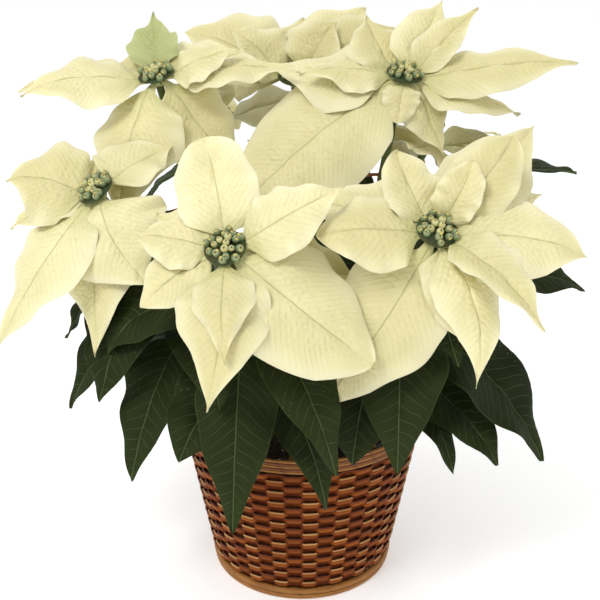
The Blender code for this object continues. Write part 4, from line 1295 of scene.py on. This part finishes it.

# %% [markdown]
# Split cane has fine lines along it and a low gloss. Where a strip dives behind a strand it lies in
# shade, and the finish paints that shade in: the ends of each bulge are painted darker, and its front
# gets a painted highlight. The pale strip keeps its pale wood for the fronts and is painted dark brown
# where it dives. A picture of cane wrapped round the wall would show a seam and repeat itself. Here
# each point of a strip stores how many bulges lie before it. That number gives every bulge a tone of
# its own and tells its front from its ends.


# %% Finish of the cane strips
def passage_noise(strip, offset):
    """A number for each stretch of strip between two crossings."""
    passage = strip.attribute("passage")[0]
    whole = strip.maths("FLOOR", passage + 0.5)
    inputs = {"Vector": strip.node("ShaderNodeCombineXYZ", inputs={0: whole, 1: offset})}
    return strip.node("ShaderNodeTexWhiteNoise", inputs=inputs), passage


def grain_of(strip, stretch, scale):
    """Fine lines along the strip: noise that is drawn out round the basket."""
    x, y, z = strip.parts(strip.place())
    round_way = strip.maths("ARCTAN2", y, x) * stretch
    where = strip.node("ShaderNodeCombineXYZ", inputs={0: round_way, 1: z})
    return strip.mottle(scale, 3, where)


def dark_cane():
    strip = Surface("dark_cane", {"Specular IOR Level": 0.08})
    hue, passage = passage_noise(strip, 0.0)
    over = strip.maths("COSINE", passage * (2 * math.pi))
    grain = grain_of(strip, 0.004, 900)
    colour = strip.mix(strip.step(hue, 0.2, 0.9), (0.15, 0.028, 0.004, 1), (0.26, 0.060, 0.007, 1))
    # Painted highlight: the front of each bulge, where the strip passes over a strand, is painted lighter.
    colour = strip.mix(strip.step(over, 0.0, 0.6) * 0.4, colour, (0.32, 0.090, 0.012, 1))
    colour = strip.mix(strip.step(grain, 0.45, 0.8) * 0.45, colour, (0.06, 0.014, 0.005, 1))
    # Painted shade: where the strip dives behind a strand it is painted nearly black-brown.
    colour = strip.mix((1 - strip.step(over, -0.6, 0.1)) * 0.7, colour, (0.085, 0.015, 0.002, 1))
    return strip.finish(colour, 0.42 + grain * 0.25, grain, 0.0003)


def pale_cane():
    strip = Surface("pale_cane", {"Specular IOR Level": 0.25})
    hue, passage = passage_noise(strip, 3.0)
    over = strip.maths("COSINE", passage * (2 * math.pi))
    grain = grain_of(strip, 0.004, 1200)
    pale = strip.mix(hue, (0.40, 0.18, 0.07, 1), (0.55, 0.30, 0.10, 1))
    pale = strip.mix(strip.step(grain, 0.4, 0.8) * 0.35, pale, (0.36, 0.16, 0.05, 1))
    even = 1 - strip.maths("PINGPONG", strip.maths("FLOOR", passage / (STRANDS / 2)), 1.0)
    # Painted shade: the pale wood shows only on the front of each bulge, and where the strip dives behind a
    # strand it is painted dark brown. On odd rounds and on a few random stretches the same dark brown is
    # the strip's own colour.
    shown = strip.step(over, 0.14, 0.22) * even * strip.step(hue, 0.06, 0.10)
    colour = strip.mix(shown, (0.12, 0.024, 0.003, 1), pale)
    return strip.finish(colour, 0.4 + grain * 0.2, grain, 0.0003)


dark_strip = dark_cane()
pale_strip = pale_cane()
print("finishes:", dark_strip.name, pale_strip.name)

# %% [markdown]
# Bending a strip round every strand by hand would take nearly a thousand bends. Here a straight curve
# with a few points to each strand is wound up the wall by one formula, tilted with the wall and given
# a flat section with rounded corners. Both weavers come from the same rule, each with its own sizes.


# %% The weavers
def weaver_rule(name, material):
    """A strip that spirals up the wall, over one strand and under the next."""
    labels = ("Low", "Pitch", "Foot radius", "Slope", "Lift", "Depth", "Thickness", "Height", "Lean")
    inputs = {label: "number" for label in labels}
    inputs.update({"Rounds": "count", "Strands": "count"})
    rule = Rule(name, inputs)
    line = rule.node("GeometryNodeCurvePrimitiveLine")
    count = rule.given("Rounds") * rule.given("Strands") * POINTS_PER_STRAND
    line = rule.node("GeometryNodeResampleCurve", inputs={0: line, "Count": count})
    turns = rule.node("GeometryNodeSplineParameter") * rule.given("Rounds")
    angle = (turns + 0.25) * (2 * math.pi)
    passage = turns * rule.given("Strands") * 0.5
    height = rule.given("Low") + rule.given("Pitch") * turns
    swing = rule.maths("COSINE", passage * (2 * math.pi))
    flat_top = rule.step(swing, -0.5, 0.5) * 2 - 1
    radius = rule.given("Foot radius") + rule.given("Slope") * height + rule.given("Lift")
    radius = radius + rule.given("Depth") * flat_top
    place = rule.vector(radius * rule.maths("COSINE", angle), radius * rule.maths("SINE", angle), height)
    line = rule.keep(line, "passage", passage)
    line = rule.node("GeometryNodeSetPosition", inputs={0: line, "Position": place})
    line = rule.node("GeometryNodeSetCurveNormal", {"mode": "Z_UP"}, {0: line})
    line = rule.node("GeometryNodeSetCurveTilt", inputs={0: line, "Tilt": rule.given("Lean")})
    sizes = {"Width": rule.given("Thickness"), "Height": rule.given("Height")}
    section = rule.node("GeometryNodeCurvePrimitiveQuadrilateral", inputs=sizes)
    rounding = {0: section, "Radius": rule.given("Thickness") * 0.45, "Count": 1}
    section = rule.node("GeometryNodeFilletCurve", {"mode": "POLY"}, rounding)
    inputs = {0: line, "Profile Curve": section, "Fill Caps": True}
    return rule.close(rule.node("GeometryNodeCurveToMesh", inputs=inputs), material)


def make_weaver(name, material, height, thickness, lift, shift):
    """A weaver whose first round starts this share of a round's height above the foot."""
    sizes = {
        "Low": FOOT_TOP + PITCH * shift, "Pitch": PITCH, "Foot radius": BASKET_FOOT_R, "Slope": SLOPE,
        "Lift": lift, "Depth": WEAVE_DEPTH, "Thickness": thickness, "Height": height,
        "Lean": math.atan(SLOPE), "Rounds": ROUNDS - 1, "Strands": STRANDS,
    }
    piece = grown(name, weaver_rule(name, material), sizes)
    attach(piece, "root")
    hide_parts("basket_wall")
    print(name, "faces:", len(piece.data.polygons), "size:", [round(v / MM, 1) for v in piece.dimensions])


make_weaver("dark_weavers", dark_strip, height=4.4 * MM, thickness=1.2 * MM, lift=-0.6 * MM, shift=0.5)
make_weaver("pale_weavers", pale_strip, height=1.6 * MM, thickness=1.5 * MM, lift=-0.45 * MM, shift=0.9)

# %% [markdown]
# Behind the weavers lies a thin sleeve. It keeps daylight from showing between the strips, and its
# dark brown is painted shade: it stands for the dark that shows in the gaps of the weave. It is turned
# from a profile of four corners.


# %% Sleeve of painted shade behind the weave
def turned_mesh(name, profile, sides):
    """A mesh turned about the upright axis from a closed profile of (radius, height) points."""
    profile = np.array(profile)
    angle = np.linspace(0, 2 * math.pi, sides, endpoint=False)
    ring = np.stack([np.cos(angle), np.sin(angle), angle * 0], axis=1)
    points = ring[:, None, :] * profile[None, :, :1] + np.array((0, 0, 1.0)) * profile[None, :, 1:]
    rows = len(profile)
    ids = np.arange(sides * rows).reshape(sides, rows)
    beyond = np.roll(ids, -1, axis=0)
    quads = np.stack([ids, beyond, np.roll(beyond, -1, axis=1), np.roll(ids, -1, axis=1)], axis=-1)
    mesh = bpy.data.meshes.new(name)
    mesh.from_pydata(points.reshape(-1, 3).tolist(), [], quads.reshape(-1, 4).tolist())
    mesh.shade_smooth()
    mesh.set_sharp_from_angle(angle=math.radians(50))
    return mesh


def brown_sleeve():
    sleeve = Surface("brown_sleeve", {"Specular IOR Level": 0.2})
    fibre = sleeve.mottle(420, 3)
    # Painted shade: the sleeve's dark brown stands for the dark that shows between the strips.
    colour = sleeve.mix(fibre, (0.06, 0.012, 0.002, 1), (0.11, 0.024, 0.004, 1))
    return sleeve.finish(colour, 0.75, fibre, 0.0004)


LINING_OUTER = 2.6 * MM
LINING_INNER = 3.25 * MM
LINING_END_GAP = 0.4 * MM


def lining_profile():
    """Up the outside of the sleeve and down its inside, behind the weavers."""
    low, high = FOOT_TOP + LINING_END_GAP, RIM_LOW - LINING_END_GAP
    outer = [(BASKET_FOOT_R + SLOPE * z - LINING_OUTER, z) for z in (low, high)]
    return outer + [(radius + LINING_OUTER - LINING_INNER, z) for radius, z in reversed(outer)]


lining = linked("basket_lining", turned_mesh("basket_lining", lining_profile(), 120), brown_sleeve())
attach(lining, "root")
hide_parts("basket_wall")
print("lining of", len(lining.data.polygons), "faces")

# %% [markdown]
# Borders, stakes and floor are of golden round cane. The rounds of a border are lashed together. The
# lashings are too thin to be worth a mesh, so the finish draws them as dark slanting lines, two for
# each stake, which step on from one round to the next.

# %% Finish of the golden cane
LASHES_PER_STAKE = 2
LASH_STEP = 0.7
LASH_LEAN = 160


def gold_cane():
    strip = Surface("gold_cane", {"Specular IOR Level": 0.25, "Coat Weight": 0.05, "Coat Roughness": 0.3})
    grain = grain_of(strip, 0.006, 700)
    blotch = strip.mottle(60, 2)
    level = strip.attribute("level")[0]
    colour = strip.mix(blotch, (0.26, 0.095, 0.016, 1), (0.46, 0.21, 0.048, 1))
    colour = strip.mix(strip.step(grain, 0.4, 0.75) * 0.5, colour, (0.16, 0.050, 0.012, 1))
    colour = strip.mix(strip.attribute("brown")[0], colour, (0.14, 0.035, 0.010, 1))
    x, y, z = strip.parts(strip.place())
    angle = strip.maths("ARCTAN2", y, x)
    lashes = angle * (LASHES_PER_STAKE * STAKES / (2 * math.pi))
    seam = strip.maths("PINGPONG", lashes + level * LASH_STEP + z * LASH_LEAN, 0.5)
    lashed = (1 - strip.step(seam, 0.02, 0.05)) * (0.3 + 0.5 * strip.step(z, 0.05, 0.06))
    colour = strip.mix(lashed, colour, (0.045, 0.014, 0.006, 1))
    return strip.finish(colour, 0.38 + grain * 0.2, grain, 0.0004)


gold = gold_cane()
print("finish:", gold.name)

# %% [markdown]
# Rim and foot close the wall: each is a few rounds of cane laid on each other. In the rule a round is a
# circle, scaled to the width of the tapered wall at its height, and a tube follows it. Every second
# round of the rim is brown, as the photo shows it.

# %% Borders
CANE_SIDES = 10
HOOP_POINTS = 144


def border_rule(material):
    """Rounds of cane on each other, each as wide as the tapered wall is at its height."""
    labels = ("Low", "Step", "Foot radius", "Slope", "Lift", "Cane")
    rule = Rule("border", {**{label: "number" for label in labels}, "Brown": "number", "Rounds": "count"})
    index = rule.node("GeometryNodeInputIndex")
    height = rule.given("Low") + rule.given("Step") * (index + 0.5)
    radius = rule.given("Foot radius") + rule.given("Slope") * height + rule.given("Lift")
    spot = rule.vector(0.0, 0.0, height)
    points = rule.node("GeometryNodePoints", inputs={0: rule.given("Rounds"), "Position": spot})
    points = rule.keep(points, "level", index)
    points = rule.keep(points, "brown", rule.maths("PINGPONG", index, 1.0) * rule.given("Brown"))
    points = rule.keep(points, "wide", radius)
    hoop = {"Resolution": HOOP_POINTS, "Radius": 1.0}
    hoop = rule.node("GeometryNodeCurvePrimitiveCircle", {"mode": "RADIUS"}, hoop)
    wide = rule.node("GeometryNodeInputNamedAttribute", {"data_type": "FLOAT"}, {"Name": "wide"})
    inputs = {0: points, "Instance": hoop, "Scale": rule.vector(wide, wide, 1.0)}
    hoops = rule.node("GeometryNodeInstanceOnPoints", inputs=inputs)
    hoops = rule.node("GeometryNodeRealizeInstances", inputs={0: hoops})
    return rule.close(rule.tube(hoops, rule.given("Cane"), CANE_SIDES), material)


def make_border(name, rule, low, high, rounds, lift, brown):
    """A border whose every second round is as brown as given, from 0 to 1."""
    step = (high - low) / rounds
    sizes = {
        "Low": low, "Step": step, "Foot radius": BASKET_FOOT_R, "Slope": SLOPE, "Lift": lift,
        "Cane": step * 0.52, "Rounds": rounds, "Brown": brown,
    }
    piece = grown(name, rule, sizes)
    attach(piece, "root")
    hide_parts(name.replace("_rounds", ""))
    return piece


borders = border_rule(gold)
rim = make_border("basket_rim_rounds", borders, RIM_LOW, BASKET_HEIGHT, rounds=5, lift=0.2 * MM, brown=0.8)
foot = make_border("basket_foot_rounds", borders, 0.1 * MM, FOOT_TOP, rounds=2, lift=-0.6 * MM, brown=0.0)
print("faces of the borders:", len(rim.data.polygons), len(foot.data.polygons))

# %% [markdown]
# Stout stakes stand on the floor inside the wall and end just below the top of the rim. The floor is a
# flat spiral of round cane. The spiral node winds it, and one stake is set out round the axis, so both
# fit in one small rule.

# %% Stakes and floor
STAKE_SIDES = 8
STAKE_R = 1.5 * MM
STAKE_INSET = 6.8 * MM
FLOOR_CANE_R = 1.9 * MM
FLOOR_R = 63 * MM


def floor_rule(material):
    """Stakes up the inside of the wall, and a floor of cane that winds outwards."""
    rule = Rule("basket_floor", {
        "Stakes": "count", "Stake foot": "vector", "Stake top": "vector", "Stake": "number",
        "Floor radius": "number", "Cane": "number", "Turns": "number",
    })
    ends = {"Start": rule.given("Stake foot"), "End": rule.given("Stake top")}
    line = rule.node("GeometryNodeCurvePrimitiveLine", inputs=ends)
    stake = rule.tube(line, rule.given("Stake"), STAKE_SIDES)
    points = rule.node("GeometryNodePoints", inputs={0: rule.given("Stakes")})
    index = rule.node("GeometryNodeInputIndex")
    turn = rule.vector(0.0, 0.0, (index + 0.5) * (2 * math.pi) / rule.given("Stakes"))
    inputs = {0: points, "Instance": stake, "Rotation": turn}
    stakes = rule.node("GeometryNodeInstanceOnPoints", inputs=inputs)
    spiral = {
        "Resolution": 40, "Rotations": rule.given("Turns"), "Start Radius": rule.given("Cane"),
        "End Radius": rule.given("Floor radius"), "Height": 0.0,
    }
    spiral = rule.node("GeometryNodeCurveSpiral", inputs=spiral)
    lift = rule.vector(0.0, 0.0, rule.given("Cane") + 0.0001)
    spiral = rule.node("GeometryNodeSetPosition", inputs={0: spiral, "Offset": lift})
    return rule.close(rule.join(stakes, rule.tube(spiral, rule.given("Cane"), CANE_SIDES)), material)


stake_top = BASKET_HEIGHT - 2 * MM
basket_floor = grown("basket_floor", floor_rule(gold), {
    "Stakes": STAKES,
    "Stake foot": (BASKET_FOOT_R - STAKE_INSET, 0, FLOOR_CANE_R),
    "Stake top": (BASKET_FOOT_R + SLOPE * stake_top - STAKE_INSET, 0, stake_top),
    "Stake": STAKE_R, "Floor radius": FLOOR_R, "Cane": FLOOR_CANE_R, "Turns": FLOOR_R / (2 * FLOOR_CANE_R),
})
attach(basket_floor, "root")
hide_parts("basket_base")
print("faces of the floor and stakes:", len(basket_floor.data.polygons))

# %% [markdown]
# The nursery pot is a thin moulded shell with a rolled rim. A turned profile gives it, as it is
# made round a core. Its plastic is black and a little dusty.


# %% Nursery pot
def black_plastic():
    plastic = Surface("black_plastic", {"Specular IOR Level": 0.4})
    dust = plastic.mottle(120, 4)
    fine = plastic.mottle(1800, 1)
    dusty = plastic.step(dust, 0.45, 0.8) * 0.6
    colour = plastic.mix(dusty, (0.018, 0.017, 0.016, 1), (0.10, 0.08, 0.06, 1))
    return plastic.finish(colour, 0.42 + dust * 0.3, fine, 0.00008)


POT_LOW, POT_HIGH = (corner.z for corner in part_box("nursery_pot"))
POT_TOP_R = 78 * MM
POT_FOOT_R = 58 * MM
POT_WALL = 1.6 * MM
POT_COLLAR = 9 * MM
POT_HOLE_R = 3 * MM


def pot_profile():
    """Up the outside, over the rolled rim and down the inside to the hole in the floor."""
    collar = POT_HIGH - POT_COLLAR
    inside = POT_TOP_R - POT_WALL
    floor_top = POT_LOW + POT_WALL
    outer = [(POT_FOOT_R - 3 * MM, POT_LOW), (POT_FOOT_R, POT_LOW + 2.5 * MM)]
    outer += [(POT_TOP_R - 0.2 * MM, collar), (POT_TOP_R + 1.9 * MM, collar)]
    rolled = [(POT_TOP_R + 2.3 * MM, collar + 1 * MM), (POT_TOP_R + 2.5 * MM, POT_HIGH - 0.8 * MM)]
    rolled += [(POT_TOP_R + 1.6 * MM, POT_HIGH), (inside + 0.5 * MM, POT_HIGH)]
    inner = [(inside, POT_HIGH - 0.8 * MM), (POT_FOOT_R - POT_WALL, floor_top)]
    inner += [(POT_HOLE_R, floor_top), (POT_HOLE_R, POT_LOW)]
    return outer + rolled + inner


nursery_pot = linked("pot", turned_mesh("pot", pot_profile(), 96), black_plastic())
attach(nursery_pot, "root")
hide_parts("nursery_pot")
print("pot from", round(POT_LOW, 4), "to", round(POT_HIGH, 4))

# %% [markdown]
# Potting mix is dark and crumbly, with pale grains of perlite. Its body is a turned mesh whose top
# is made uneven by noise. Crumbs are scattered on the top by a rule with a fixed seed.


# %% Potting mix
def potting_mix():
    mix = Surface("potting_mix", {"Specular IOR Level": 0.2})
    lump = mix.mottle(350, 4)
    kind = mix.attribute("kind")[0]
    colour = mix.mix(lump, (0.012, 0.007, 0.004, 1), (0.055, 0.032, 0.018, 1))
    colour = mix.mix(mix.step(kind, 0.965, 0.975), colour, (0.62, 0.60, 0.55, 1))
    return mix.finish(colour, 0.9, lump, 0.0012)


SOIL_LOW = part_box("soil")[0].z
SOIL_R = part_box("soil")[1].x - 0.2 * MM
SOIL_FOOT_R = 55.2 * MM
SOIL_PINHOLE_R = 0.3 * MM
SOIL_TOP_ROWS = 40


def soil_body():
    """The body of the mix with an uneven top, turned about a pinhole that keeps its mesh simple."""
    below = np.linspace(SOIL_PINHOLE_R, SOIL_FOOT_R, 5)
    above = np.linspace(SOIL_R, SOIL_PINHOLE_R, SOIL_TOP_ROWS)
    radii = np.concatenate([below, above])
    heights = np.concatenate([below * 0 + SOIL_LOW, above * 0 + SOIL_TOP - 1.5 * MM])
    mesh = turned_mesh("soil_body", np.stack([radii, heights], axis=1), 120)
    for vertex in mesh.vertices:
        if vertex.co.z > SOIL_LOW + MM:
            lump = noise.noise(vertex.co * 90) * 1.2 + noise.noise(vertex.co * 350) * 0.7
            vertex.co.z = min(vertex.co.z + lump * MM, SOIL_TOP - 0.2 * MM)
    return linked("soil_body", mesh)


def crumb_rule(material):
    """Crumbs strewn on the faces of a body that look up."""
    labels = {"Body": "object", "Per square metre": "number", "Size": "number", "Seed": "count"}
    rule = Rule("crumbs", labels)
    body = rule.node("GeometryNodeObjectInfo", inputs={"Object": rule.given("Body")}, output=4)
    up = rule.node("GeometryNodeInputNormal")
    facing = rule.node("ShaderNodeSeparateXYZ", inputs={0: up}, output=2)
    top = rule.node("FunctionNodeCompare", {"operation": "GREATER_THAN"}, {0: facing, 1: 0.6})
    density = rule.given("Per square metre")
    inputs = {0: body, "Selection": top, "Density": density, "Seed": rule.given("Seed")}
    points = rule.node("GeometryNodeDistributePointsOnFaces", inputs=inputs)
    points = rule.keep(points, "kind", rule.random(0.0, 1.0, 3))
    crumb = rule.node("GeometryNodeMeshIcoSphere", inputs={"Radius": rule.given("Size"), "Subdivisions": 1})
    inputs = {1: (6.3, 6.3, 6.3), "Seed": 4}
    spin = rule.node("FunctionNodeRandomValue", {"data_type": "FLOAT_VECTOR"}, inputs)
    inputs = {0: (0.4, 0.4, 0.3), 1: (1.4, 1.2, 0.9), "Seed": 5}
    size = rule.node("FunctionNodeRandomValue", {"data_type": "FLOAT_VECTOR"}, inputs)
    inputs = {0: points, "Instance": crumb, "Rotation": spin, "Scale": size}
    crumbs = rule.node("GeometryNodeInstanceOnPoints", inputs=inputs)
    return rule.close(rule.join(crumbs, body), material)


mound = soil_body()
soil = grown("potting_mix", crumb_rule(potting_mix()), {
    "Body": mound, "Per square metre": 90000.0, "Size": 1.2 * MM, "Seed": 7,
})
bpy.data.objects.remove(mound)
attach(soil, "root")
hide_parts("soil")
print("faces of the potting mix:", len(soil.data.polygons))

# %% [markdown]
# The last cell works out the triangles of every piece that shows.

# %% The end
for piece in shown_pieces():
    piece.data.calc_loop_triangles()
